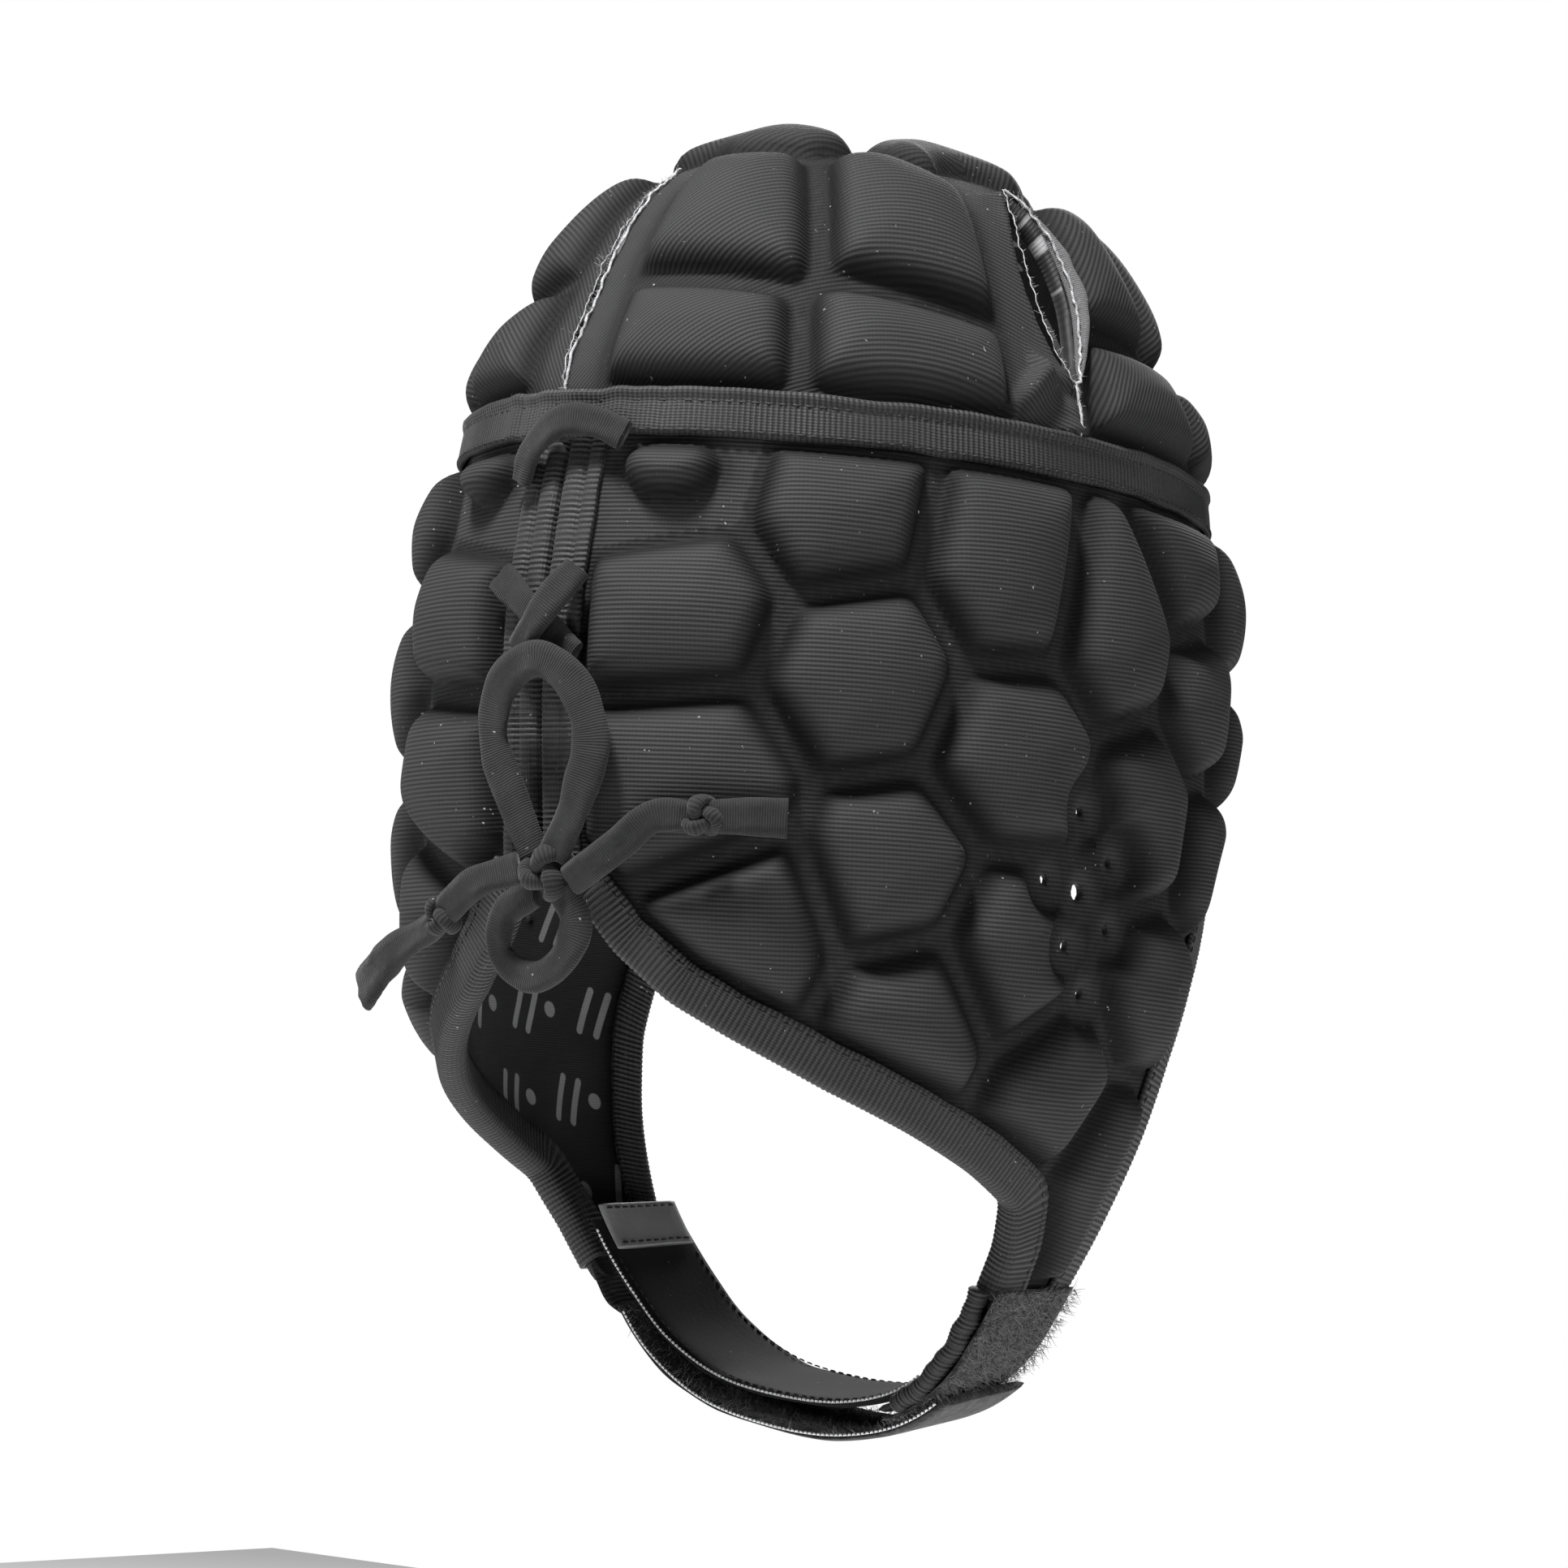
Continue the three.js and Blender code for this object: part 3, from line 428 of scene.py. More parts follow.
# Materials
class Nodes:
    """Small helper to write a node tree."""

    def __init__(self, name):
        self.material = bpy.data.materials.new(name)
        self.material.use_nodes = True
        self.tree = self.material.node_tree
        self.shader = self.tree.nodes["Principled BSDF"]
        self.u, self.v = self.layer("mm")
        self.place = self.add("ShaderNodeTexCoord").outputs["Object"]

    def add(self, kind, *inputs, **settings):
        node = self.tree.nodes.new(kind)
        for key, value in settings.items():
            setattr(node, key, value)
        for socket, value in zip(node.inputs, inputs):
            if isinstance(value, bpy.types.NodeSocket):
                self.tree.links.new(value, socket)
            elif value is not None:
                socket.default_value = value
        return node

    def layer(self, name):
        """Both coordinates of a UV layer."""
        split = self.add("ShaderNodeSeparateXYZ", self.add("ShaderNodeUVMap", uv_map=name).outputs[0])
        return split.outputs[0], split.outputs[1]

    def math(self, operation, *inputs):
        return self.add("ShaderNodeMath", *inputs, operation=operation).outputs[0]

    def wave(self, value, period):
        """Zero to one and back once each period."""
        turned = self.math("MULTIPLY", value, 2 * math.pi / period)
        return self.math("MULTIPLY_ADD", self.math("SINE", turned), 0.5, 0.5)

    def noise(self, scale, detail=2.0, rough=0.5):
        return self.add("ShaderNodeTexNoise", self.place, None, scale, detail, rough).outputs[0]

    def ramp(self, value, low, high):
        return self.add("ShaderNodeMapRange", value, low, high, 0.0, 1.0).outputs[0]

    def mix(self, share, a, b):
        node = self.add("ShaderNodeMix", data_type="RGBA")
        colours = [s for s in node.inputs if s.type == "RGBA"]
        for socket, value in zip([node.inputs[0], *colours], (share, a, b)):
            if isinstance(value, bpy.types.NodeSocket):
                self.tree.links.new(value, socket)
            else:
                socket.default_value = value
        return [s for s in node.outputs if s.type == "RGBA"][0]

    def colour(self, value):
        self.tree.links.new(value, self.shader.inputs["Base Color"])

    def bump(self, height, distance, strength):
        node = self.add("ShaderNodeBump")
        node.inputs["Strength"].default_value = strength
        node.inputs["Distance"].default_value = distance
        self.tree.links.new(height, node.inputs["Height"])
        self.tree.links.new(node.outputs[0], self.shader.inputs["Normal"])

    def surface(self, roughness, sheen, sheen_rough, specular):
        for socket, value in (("Roughness", roughness), ("Sheen Weight", sheen),
                              ("Sheen Roughness", sheen_rough), ("Specular IOR Level", specular)):
            self.shader.inputs[socket].default_value = value
        return self.material


def grey(value):
    return (value, value, value * 1.02, 1)


def lint(n, colour):
    """Colour with small pale specks of lint and dust."""
    specks = n.ramp(n.noise(900.0, 1.0), 0.76, 0.79)
    patches = n.ramp(n.noise(60.0), 0.45, 0.6)
    return n.mix(n.math("MULTIPLY", specks, n.math("MULTIPLY", patches, 0.8)), colour, grey(0.3))


def patchy(n, value, low, high, base, dark, light):
    """Colour between a darker and a lighter share of a base, where a value runs from low to high."""
    return n.mix(n.ramp(value, low, high), grey(base * dark), grey(base * light))


def woven(n, weave, low, high, patches, base, dark, light):
    """Colour of a weave, with painted shade in its hollows, in slightly different patches of its own tone:
    noise scale, depth and least.
    """
    scale, depth, least = patches
    tone = n.math("MULTIPLY_ADD", n.noise(scale, 3.0), depth, least)
    return n.mix(n.math("MULTIPLY", n.ramp(weave, low, high), tone), grey(base * dark), grey(base * light))


def knit_material(name, base, painted_shade=False):
    """Fine ribbed knit: ribs along u, stitches across them, and, where asked for, painted shade at the feet
    of the pads.
    """
    n = Nodes(name)
    weave = n.math("MULTIPLY_ADD", n.wave(n.u, RIB * 0.9), 0.14, n.wave(n.v, RIB))
    colour = woven(n, weave, 0.1, 1.2, (45.0, 0.5, 0.62), base, 0.45, 1.25)
    # Painted shade: the colour falls towards a tenth where the shade factor of the second UV layer is low.
    if painted_shade:
        colour = n.mix(n.layer("painted_shade")[0], grey(base * 0.1), colour)
    n.colour(lint(n, colour))
    n.bump(n.math("MULTIPLY_ADD", n.noise(1500.0, 1.0), 0.45, weave), 0.0002, 0.6)
    return n.surface(0.7, 0.02, 0.4, 0.1)


def tape_material(name, base):
    """Ribbed tape with a visible weave along each rib."""
    n = Nodes(name)
    weave = n.math("MULTIPLY_ADD", n.wave(n.v, 0.7), 0.3, n.wave(n.u, TAPE_RIB))
    n.colour(lint(n, woven(n, weave, 0.0, 1.2, (70.0, 0.5, 0.65), base, 0.35, 1.5)))
    n.bump(n.math("MULTIPLY_ADD", n.noise(1400.0, 1.0), 0.4, weave), 0.00025, 0.7)
    return n.surface(0.62, 0.05, 0.4, 0.25)


def jersey_material(name, base):
    """Soft jersey with fine rows and a rough nap."""
    n = Nodes(name)
    weave = n.math("MULTIPLY_ADD", n.noise(1200.0), 0.8, n.wave(n.u, 0.55))
    n.colour(lint(n, woven(n, weave, 0.2, 1.5, (60.0, 0.7, 0.45), base, 0.5, 1.4)))
    n.bump(weave, 0.00014, 0.7)
    return n.surface(0.85, 0.08, 0.5, 0.12)


def pile_material(name, base):
    """Tufted loop pile."""
    n = Nodes(name)
    tuft = n.noise(420.0, 4.0, 0.7)
    n.colour(patchy(n, tuft, 0.35, 0.75, base, 0.25, 2.2))
    n.bump(tuft, 0.0012, 0.9)
    return n.surface(0.9, 0.15, 0.5, 0.1)


def strap_material(name, base):
    """Smooth napped strap with a faint grain."""
    n = Nodes(name)
    n.colour(lint(n, patchy(n, n.noise(35.0), 0.3, 0.7, base, 0.75, 1.2)))
    n.bump(n.noise(800.0, 3.0), 0.00012, 0.5)
    return n.surface(0.75, 0.05, 0.5, 0.1)


def tab_material(name, base):
    """Grained grey tab."""
    n = Nodes(name)
    cells = n.add("ShaderNodeTexVoronoi", n.place)
    cells.inputs["Scale"].default_value = 900.0
    n.colour(patchy(n, n.noise(90.0, 3.0), 0.3, 0.7, base, 0.8, 1.1))
    n.bump(cells.outputs["Distance"], 0.00015, 0.6)
    return n.surface(0.45, 0.0, 0.5, 0.5)


def thread_material(name, base):
    """Twisted thread."""
    n = Nodes(name)
    twist = n.wave(n.math("ADD", n.u, n.v), 0.35)
    n.colour(n.mix(twist, grey(base * 0.6), grey(base * 1.3)))
    n.bump(twist, 0.0001, 0.5)
    return n.surface(0.6, 0.0, 0.5, 0.4)


def fray_material(name, base):
    """Pale torn threads with darker gaps."""
    n = Nodes(name)
    n.colour(patchy(n, n.noise(700.0, 3.0, 0.7), 0.25, 0.55, base, 0.075, 1.0))
    n.bump(n.noise(1500.0), 0.0003, 0.8)
    return n.surface(0.8, 0.1, 0.5, 0.2)


def bar(n, u, v, x, y, along_x, along_y, half, radius):
    """Zero to one inside a round-ended bar in one cell of a pattern."""
    soft = 0.15
    px, py = n.math("SUBTRACT", u, x), n.math("SUBTRACT", v, y)
    length = math.hypot(along_x, along_y)
    dx, dy = along_x / length, along_y / length
    far = n.math("ADD", n.math("MULTIPLY", px, dx), n.math("MULTIPLY", py, dy))
    far = n.math("MAXIMUM", n.math("MINIMUM", far, half), -half)
    ox = n.math("SUBTRACT", px, n.math("MULTIPLY", far, dx))
    oy = n.math("SUBTRACT", py, n.math("MULTIPLY", far, dy))
    apart = n.math("SQRT", n.math("ADD", n.math("MULTIPLY", ox, ox), n.math("MULTIPLY", oy, oy)))
    return n.ramp(apart, radius + soft, radius - soft)


def lining_material(name, base, print_grey):
    """Dark smooth lining printed with a plain pattern of slanted bars and dots, in rows like bricks."""
    n = Nodes(name)
    row = n.math("FLOOR", n.math("DIVIDE", n.v, MOTIF_HIGH))
    shifted = n.math("MULTIPLY_ADD", row, MOTIF_WIDE / 2, n.u)
    u = n.math("MODULO", n.math("ADD", shifted, 1000 * MOTIF_WIDE), MOTIF_WIDE)
    v = n.math("SUBTRACT", n.v, n.math("MULTIPLY", row, MOTIF_HIGH))
    left, right = bar(n, u, v, 7.0, 11.0, 0.45, 1.0, 5.5, 1.0), bar(n, u, v, 12.5, 10.0, 0.45, 1.0, 5.5, 1.0)
    dot = bar(n, u, v, 19.5, 10.5, 1.0, 0.0, 0.01, 2.0)
    shown = n.math("MAXIMUM", n.math("MAXIMUM", left, right), dot)
    fine = n.wave(n.v, 0.6)
    cloth = n.mix(n.math("MULTIPLY", fine, n.noise(80.0)), grey(base * 0.6), grey(base * 1.4))
    n.colour(n.mix(shown, cloth, grey(print_grey)))
    n.bump(fine, 0.0001, 0.5)
    return n.surface(0.6, 0.05, 0.5, 0.2)


KNIT = knit_material("ribbed_knit", 0.03)
# Padded knit, with painted shade at the feet of its pads.
PAD_KNIT = knit_material("padded_knit", 0.037, painted_shade=True)
TAPE_CLOTH = tape_material("ribbed_tape", 0.027)
JERSEY = jersey_material("lace_jersey", 0.022)
PILE = pile_material("loop_pile", 0.03)
STRAP = strap_material("strap", 0.012)
TAB = tab_material("tab", 0.3)
LINING = lining_material("lining", 0.016, 0.24)
FRAY = fray_material("frayed_edge", 0.4)
LIP = jersey_material("turned_edge", 0.11)
FIBRE = thread_material("pile_fibre", 0.15)
BLACK_THREAD = thread_material("black_thread", 0.015)
PALE_THREAD = thread_material("pale_thread", 0.7)


# Padded panels
def clearance(points, seeds, reach, border, margin):
    """How far each point is inside the pad of its nearest seed, with rounded corners."""
    made = []
    for start in range(0, len(points), NOISE_CHUNK):
        p = points[start:start + NOISE_CHUNK]
        each = np.arange(len(p))
        square = ((p[:, None] - seeds[None]) ** 2).sum(-1)
        near = square.argmin(1)
        apart = np.linalg.norm(seeds[near][:, None] - seeds[None], axis=-1)
        middle = (square - square[each, near][:, None]) / (2 * np.maximum(apart, 1e-6)) - CHANNEL / 2
        out = p - seeds[near]
        out[:, 2] *= np.where(reach[near] < OVAL_REACH, OVAL_SQUASH, 1)
        middle[each, near] = reach[near] - np.linalg.norm(out, axis=1)
        edge = (np.sqrt(((p[:, None] - border[None]) ** 2).sum(-1)) - margin[None]).min(1)
        every = np.concatenate([middle, edge[:, None]], 1)
        least = every.min(1, keepdims=True)
        made.append(least[:, 0] - np.log(np.exp(least - every).sum(1)))
    return np.concatenate(made)


def pad_height(c, rise):
    """Steep welded edge, round shoulder and a crowned top."""
    shoulder = 1 - (1 - np.clip(c / SHOULDER_REACH, 0, 1)) ** SHOULDER_POWER
    domed = 1 - (1 - np.clip(c / DOME_REACH, 0, 1)) ** DOME_POWER
    return rise * PAD_SHARE * (shoulder + domed)


def painted_shade_factor(c):
    """Share of the knit's colour kept against painted shade: near zero at the foot of a pad, where the cloth
    creases and shade falls, a little lower again in the channels, and one on top of a pad.
    """
    foot = 0.9 * np.exp(-((c - 0.4) / 2.7) ** 2)
    channel = 0.25 * (c < -2) * np.exp(-((c + 2) / 3) ** 2)
    return 1 - foot - channel


def hem_path(count):
    """Angle and level along the lower edge, evenly spaced, with its corners eased."""
    per_row, fine, ease = 60, 900, 2.6
    corners = np.array(HEM, float) * [1, -1]
    t = np.linspace(0, 1, per_row, endpoint=False)[:, None]
    rows = [a * (1 - t) + b * t for a, b in zip(corners[:-1], corners[1:])]
    rows = np.concatenate([*rows, corners[-1:]])
    for _ in range(2):
        rows = resample(face(rows[:, 0], rows[:, 1]), fine, rows)[1]
        rows = smoothed(rows, ease)
    return resample(face(rows[:, 0], rows[:, 1]), count, rows)[1]


def side_border(side):
    """Points round a side panel that its pads keep clear of, and how far."""
    edge, t = hem_path(260), np.linspace(0, 1, 40)
    angle = np.arange(0, 180.5, 1.5)
    holes = np.array([*EAR_HOLES, EAR_CENTRE])
    radii = np.array([EAR_HOLE / 2] * len(EAR_HOLES) + [EAR_HOLE_BIG / 2])
    rows = [
        (face(side * edge[:, 0], edge[:, 1]), HEM_LEG + 1.6),
        (face(side * angle, 0 * angle), SEAM_TAPE_LOW + 2),
        (face(0 * t, -HEM[0][1] * t), SLIT_LEG + 1.5 + BACK_SLIT),
        (face(180 + 0 * t, -HEM[-1][1] * t), CHANNEL / 2),
        (face(side * holes[:, 0], -holes[:, 1]), radii + EAR_MARGIN),
    ]
    border = np.concatenate([points for points, _ in rows])
    return border, np.concatenate([np.broadcast_to(margin, len(points)) for points, margin in rows])


def ear_holes(side, angle, level, quads):
    """Face with places moved onto the rims of the ear holes, the quads that stay, and the cloth's dip."""
    base = face(angle, level)
    dip = np.zeros(len(base))
    keep = np.ones(len(quads), bool)
    holes = [(*hole, EAR_HOLE * HOLE_SHARE / 2) for hole in EAR_HOLES]
    for a, d, radius in holes + [(*EAR_CENTRE, EAR_HOLE_BIG * BIG_HOLE_SHARE / 2)]:
        centre = face(side * a, -d)
        inside = np.linalg.norm(base[quads].mean(1) - centre, axis=1) < radius
        keep &= ~inside
        touched = np.intersect1d(quads[inside].ravel(), quads[~inside].ravel())
        far = np.linalg.norm(base[touched] - centre, axis=1)
        angle[touched] = side * a + (angle[touched] - side * a) * radius / far
        level[touched] = -d + (level[touched] + d) * radius / far
        base = face(angle, level)
        from_rim = np.maximum(np.linalg.norm(base - centre, axis=1) - radius, 0)
        dip += HOLE_DIP * np.exp(-(from_rim / HOLE_DIP_REACH) ** 2)
    return base, quads[keep], dip


def side_panel(side, name, node):
    """Padded panel of one side, with its ear flap and ear holes."""
    nu, nv = SIDE_GRID
    edge = hem_path(nu)
    t = np.linspace(0, 1, nv)[None]
    top = np.linspace(0, 180, nu)[:, None]
    ease = (t * t * (3 - 2 * t) + t) / 2
    seam, slit = (math.degrees(gap / HALF_WIDTH) for gap in (JOINT_GAP, BACK_SLIT))
    angle = np.clip(edge[:, :1] * (1 - ease) + top * ease, slit, 180 - seam)
    level = edge[:, 1:] * (1 - t) - JOINT_GAP / SKIRT_DROP * t
    angle, level = side * angle.ravel(), level.ravel()
    base, quads, dip = ear_holes(side, angle, level, grid_quads(nu, nv))
    pads = np.array(SIDE_PADS, float)
    c = clearance(base, face(side * pads[:, 0], -pads[:, 1]), pads[:, 2], *side_border(side))
    unevenness = 0.25 * cloud(base, 3, 9) * np.clip(c / 6 + 0.3, 0.2, 1)
    puffed = off(angle, level, pad_height(c, SIDE_RISE) + unevenness - dip)
    inner = off(angle, level, 0.3 * pad_height(c, 1.0) - WALL)
    uv = np.stack([np.abs(angle) * DEGREE_WIDE, base[:, 2]], -1)
    # The last value is the painted shade at the feet of the pads and in the channels.
    shell_piece(name, puffed, inner, quads, uv, None, node, painted_shade_factor(c))


def shell_piece(name, outer, inner, quads, uv, closed, node, shade):
    """Closed padded sheet: knit outside and lining inside, joined at every open edge, carrying the painted
    shade of the pads' feet for the knit.
    """
    count = len(outer)
    quads = facing_out(outer, quads, np.array([0, 0, -60.0]))
    rims = walls(quads, count, closed)
    faces = np.concatenate([quads, quads[:, ::-1] + count, rims])
    slots = np.concatenate([np.zeros(len(quads)), np.ones(len(quads) + len(rims))])
    used = np.unique(faces)
    where = np.full(2 * count, -1)
    where[used] = np.arange(len(used))
    points, uv, shade = (np.concatenate(pair)[used] for pair in ((outer, inner), (uv, uv), (shade, shade)))
    item = mesh_piece(name, points, where[faces], [PAD_KNIT, LINING], uv, slots, shade=shade)
    return finished(item, "padded_knit", node)


def slit_angle(slit, way):
    return slit[0] + (slit[1] - slit[0]) * (way - SLIT_START) / (SLIT_END - SLIT_START)


def slit_half(slit, way):
    """Half the opening of a slit, in millimetres."""
    shut, ends = slit[3], 6
    t = (way - SLIT_START) / (SLIT_END - SLIT_START)
    t = (t - shut) / (1 - shut)
    open_ = np.sin(np.pi * np.clip((t * ends + SLIT_BLUNT) / (ends + 2 * SLIT_BLUNT), 0, 1))
    return np.where((t > 0) & (t < 1), slit[2] / 2 * open_, 0)


def crown_border():
    """Points at the tape and the slits that the crown's pads keep clear of, and how far."""
    angle = np.arange(-180, 180, 1.5)
    border = [off(angle, 0 * angle + 0.001, 0 * angle)]
    margin = [np.full(len(angle), SEAM_TAPE_WIDTH - SEAM_TAPE_LOW + 1.5)]
    way = np.arange(SLIT_START, SLIT_END, 0.012)
    for slit in CROWN_SLITS:
        wide = max(slit[2] - 5, 0)
        border.append(face(slit_angle(slit, way) - 0.4 * wide, way))
        margin.append(np.full(len(way), SLIT_MARGIN + 0.25 * wide))
    return np.concatenate(border), np.concatenate(margin)


def pleat(base):
    """Height of the crease in the cloth below the open slit."""
    low, high = (face(*place) for place in PLEAT)
    t = np.clip((base - low) @ (high - low) / ((high - low) @ (high - low)), 0, 1)
    out = base - low - (high - low) * t[:, None]
    east = unit(slopes(*PLEAT[0])[0])
    width = np.where(out @ east > 0, PLEAT_SOFT, PLEAT_STEEP)
    return PLEAT_HIGH * (0.4 + 0.6 * t) * np.exp(-(np.linalg.norm(out, axis=1) / width) ** 2)


def crown_ways():
    """Levels of the crown's rows, from the tape to the top."""
    low, beside, high = CROWN_ROWS
    return np.concatenate([np.linspace(0.0015, SLIT_START, low, endpoint=False),
                           np.linspace(SLIT_START, SLIT_END, beside, endpoint=False),
                           np.linspace(SLIT_END, 1, high)])


def gore(first, second, way):
    """Angles of one gore between two slits, and the edge points where it is joined to the next."""
    count, rows = GORE_COLUMNS, len(way)
    low, high = (np.where(way > SLIT_END, slit[1], slit_angle(slit, way)) for slit in (first, second))
    high = np.where(high < low, high + 360, high)
    per_low, per_high = (np.linalg.norm(slopes(a, way)[0], axis=-1) + 1e-6 for a in (low, high))
    t = np.linspace(0, 1, count)[:, None]
    angle = (low + slit_half(first, way) / per_low) * (1 - t) + (high - slit_half(second, way) / per_high) * t
    shut = np.zeros((count, rows), bool)
    shut[0], shut[-1] = (slit_half(slit, way) < 0.01 for slit in (first, second))
    shut[:, -1] = True
    return angle.ravel(), shut.ravel()


def crown_piece():
    """Padded crown of four gores, welded together where its slits end."""
    way = crown_ways()
    size = GORE_COLUMNS * len(way)
    gores = [gore(CROWN_SLITS[g], CROWN_SLITS[(g + 1) % 4], way) for g in range(4)]
    angle, closed = (np.concatenate(rows) for rows in zip(*gores))
    level = np.tile(way, GORE_COLUMNS * 4)
    quads = np.concatenate([grid_quads(GORE_COLUMNS, len(way), g * size) for g in range(4)])
    turn = np.repeat(np.radians(GORE_TURNS), size)
    base = face(angle, level)
    pads = np.array(CROWN_PADS, float)
    c = clearance(base, face(pads[:, 0], pads[:, 1]), np.full(len(pads), float(FULL_REACH)), *crown_border())
    raised = pad_height(c, CROWN_RISE) + 0.3 * cloud(base, 5, 8) + pleat(base)
    curl = 0
    for slit in CROWN_SLITS:
        edge = face(slit_angle(slit, way), way)[None, :70:3]
        near = np.linalg.norm(base[:, None] - edge, axis=-1).min(1)
        curl = curl + slit[2] * 0.16 * np.exp(-(near / 5) ** 2)
    ripple = 1 + 0.6 * waves(base[:, 2], 4, 4.0)
    puffed = off(angle, level, raised + curl * ripple * (level > SLIT_START) * (level < SLIT_END))
    inner = off(angle, level, np.full(len(base), -float(WALL)))
    x, y = ((1 - level) * CROWN_REACH * wave(np.radians(angle)) for wave in (np.sin, np.cos))
    uv = np.stack([x * np.cos(turn) - y * np.sin(turn), x * np.sin(turn) + y * np.cos(turn)], -1)
    # The last value is the painted shade at the feet of the pads and in the channels.
    item = shell_piece("crown_panels", puffed, inner, quads, uv, closed, "crown", painted_shade_factor(c))
    weld(item, 2e-6)


# Tapes
def folded_section(leg, inside):
    """Middle line of a folded tape's section as reach and height, with its unit normals."""
    high, low = FIT + TAPE / 2, -inside - TAPE / 2
    outer = [[leg - k * leg / 8, high] for k in range(8)]
    middle, half = (high + low) / 2, (high - low) / 2
    bulge = FIT + TAPE / 2 + 0.4
    fold = [[-bulge * math.sin(a), middle + half * math.cos(a)] for a in np.linspace(0, math.pi, 6)]
    inner = [[k * leg / 3, low] for k in range(1, 4)]
    line = np.array(outer + fold + inner)
    run = np.gradient(line, axis=0)
    normal = unit(np.stack([-run[:, 1], run[:, 0]], -1))
    return line, normal if normal[0, 1] > 0 else -normal


def inward(angle, level, side):
    """Direction over the cloth, away from an edge, at each place of the edge."""
    run = unit(np.gradient(face(angle, level), axis=0))
    return unit(np.cross(outward(angle, level), run) * side)


def folded_tape(name, angle, level, side, leg, nodes, groove=0.0, seed=1, rib=TAPE_RIB):
    """Ribbed tape folded over an edge, with real ribs across it."""
    inwards = inward(angle, level, side)
    line, normal = folded_section(leg, WALL + FOLD_FIT)
    far = run_length(face(angle, level))
    ribs = 0.13 * np.sin(2 * math.pi * far / rib)
    wave = 0.25 * waves(far, seed, 7.0)
    rings = []
    n, k = len(angle), len(line)
    for sign in (1, -1):
        for j in range(k)[::sign]:
            puff = sign * TAPE / 2 + (ribs if sign > 0 else 0)
            if sign > 0 and groove and line[j, 1] > 0:
                puff = puff - groove * np.exp(-((line[j, 0] - leg * 0.48) / 0.7) ** 2)
            reach = line[j, 0] + normal[j, 0] * puff + wave * (line[j, 0] > 0.7 * leg)
            height = line[j, 1] + normal[j, 1] * puff
            a, v = walk(angle, level, inwards, np.broadcast_to(reach, n))
            rings.append(off(a, v, np.broadcast_to(height, n)))
    around = np.concatenate([np.arange(k), np.arange(k)[::-1]]) * 1.2
    sweep(name, np.stack(rings, 1), TAPE_CLOTH, "ribbed_tape", *nodes, uv=spread_out(far, around))


def edge_span(side, low, high, spacing):
    """Places along the lower edge between two angles, finely spaced."""
    edge = hem_path(1400)
    part = edge[np.argmax(edge[:, 0] >= low):]
    if high < 180:
        part = part[:np.argmax(part[:, 0] >= high) + 1]
    points = face(part[:, 0], part[:, 1])
    part = resample(points, int(run_length(points)[-1] / spacing), part)[1]
    return side * part[:, 0], part[:, 1]


def seam_band():
    """Ribbed tape round the head with a raised welt on its upper edge."""
    count, columns, hidden = 1300, 15, 7
    angle = np.linspace(-180, 180, count, endpoint=False)
    far = angle / 360 * SEAM_LENGTH
    up = np.broadcast_to([0.0, 0, 1], (count, 3))
    across = np.linspace(-SEAM_TAPE_LOW, SEAM_TAPE_WIDTH - SEAM_TAPE_LOW, columns)
    profile = TAPE + 0.25 * np.sin(np.linspace(0, math.pi, columns))
    profile[-4:] += [0.25, 0.75, 0.85, 0.3]
    profile[0] -= 0.5
    ribs = RIB_HIGH * np.sin(2 * math.pi * far / (SEAM_LENGTH / SEAM_RIBS))
    ruck = 0.5 * waves(far, 21, 6.0) * np.exp(-(angle / 16) ** 2)
    rings = []
    for sign, step in ((1, 1), (-1, -hidden)):
        for j in range(columns)[::step]:
            a, v = walk(angle, 0 * angle, up, across[j] + 0.35 * waves(far, 5 + (j > 7), 9.0) + ruck)
            thick = profile[j] + ribs + 2 * np.abs(ruck) if sign > 0 else 0 * ribs
            rings.append(off(a, v, SEAM_FIT + thick))
    around = np.concatenate([across, across[::-hidden]])
    sweep("seam_band", np.stack(rings, 1), TAPE_CLOTH, "ribbed_tape", "seam_tape",
          uv=spread_out(far, around), closed=True)


# Cords
def tube_frames(path, guide):
    run = unit(np.gradient(path, axis=0))
    side = unit(np.cross(run, guide))
    return side, np.cross(side, run)


def lace_path(name, count):
    """Evenly spaced points of a lace's route, with the face's outward direction."""
    rows = np.array(LACE[name], float)
    path = catmull(off(rows[:, 0], -rows[:, 1], rows[:, 2]), count)
    at = np.linspace(0, 1, count) * (len(rows) - 1)
    places = picked(rows, at, np.arange(len(rows)))
    even, guide = resample(path, count, outward(places[:, 0], -places[:, 1]))
    return even, unit(guide)


def lace_tube(name, width, seed, flare):
    """Flattened jersey tube with soft folds along it, and its path."""
    sides, widens_at = 20, 0.62
    path, guide = lace_path(name, 150)
    side, up = tube_frames(path, guide)
    far = run_length(path)
    twist = 0.25 * waves(far, seed, 11.0)
    widen = np.clip((np.linspace(0, 1, len(far)) - widens_at) / (1 - widens_at), 0, 1) ** 1.6
    half = width / 2 * (1 + 0.1 * waves(far, seed + 1, 6.0)) * (1 + flare * widen)
    thick = LACE_THICK / 2 * (1 + 0.18 * waves(far, seed + 2, 5.0)) * (1 + 0.5 * flare * widen)
    rings = []
    for turn in np.linspace(0, 2 * math.pi, sides, endpoint=False):
        x, y = math.cos(turn), math.sin(turn)
        x, y = math.copysign(abs(x) ** 0.8, x), math.copysign(abs(y) ** 0.9, y)
        crease = 1 - 0.28 * math.exp(-(x / 0.35) ** 2) * (y > 0)
        a = half * x
        b = thick * y * crease + (0.12 + 0.5 * flare * widen) * waves(far + 9 * x, seed + 3, 2.2)
        rings.append(path + side * (a * np.cos(twist) - b * np.sin(twist))[:, None]
                     + up * (a * np.sin(twist) + b * np.cos(twist))[:, None])
    return sweep(name + "_jersey", np.stack(rings, 1), JERSEY, "lace", name), path


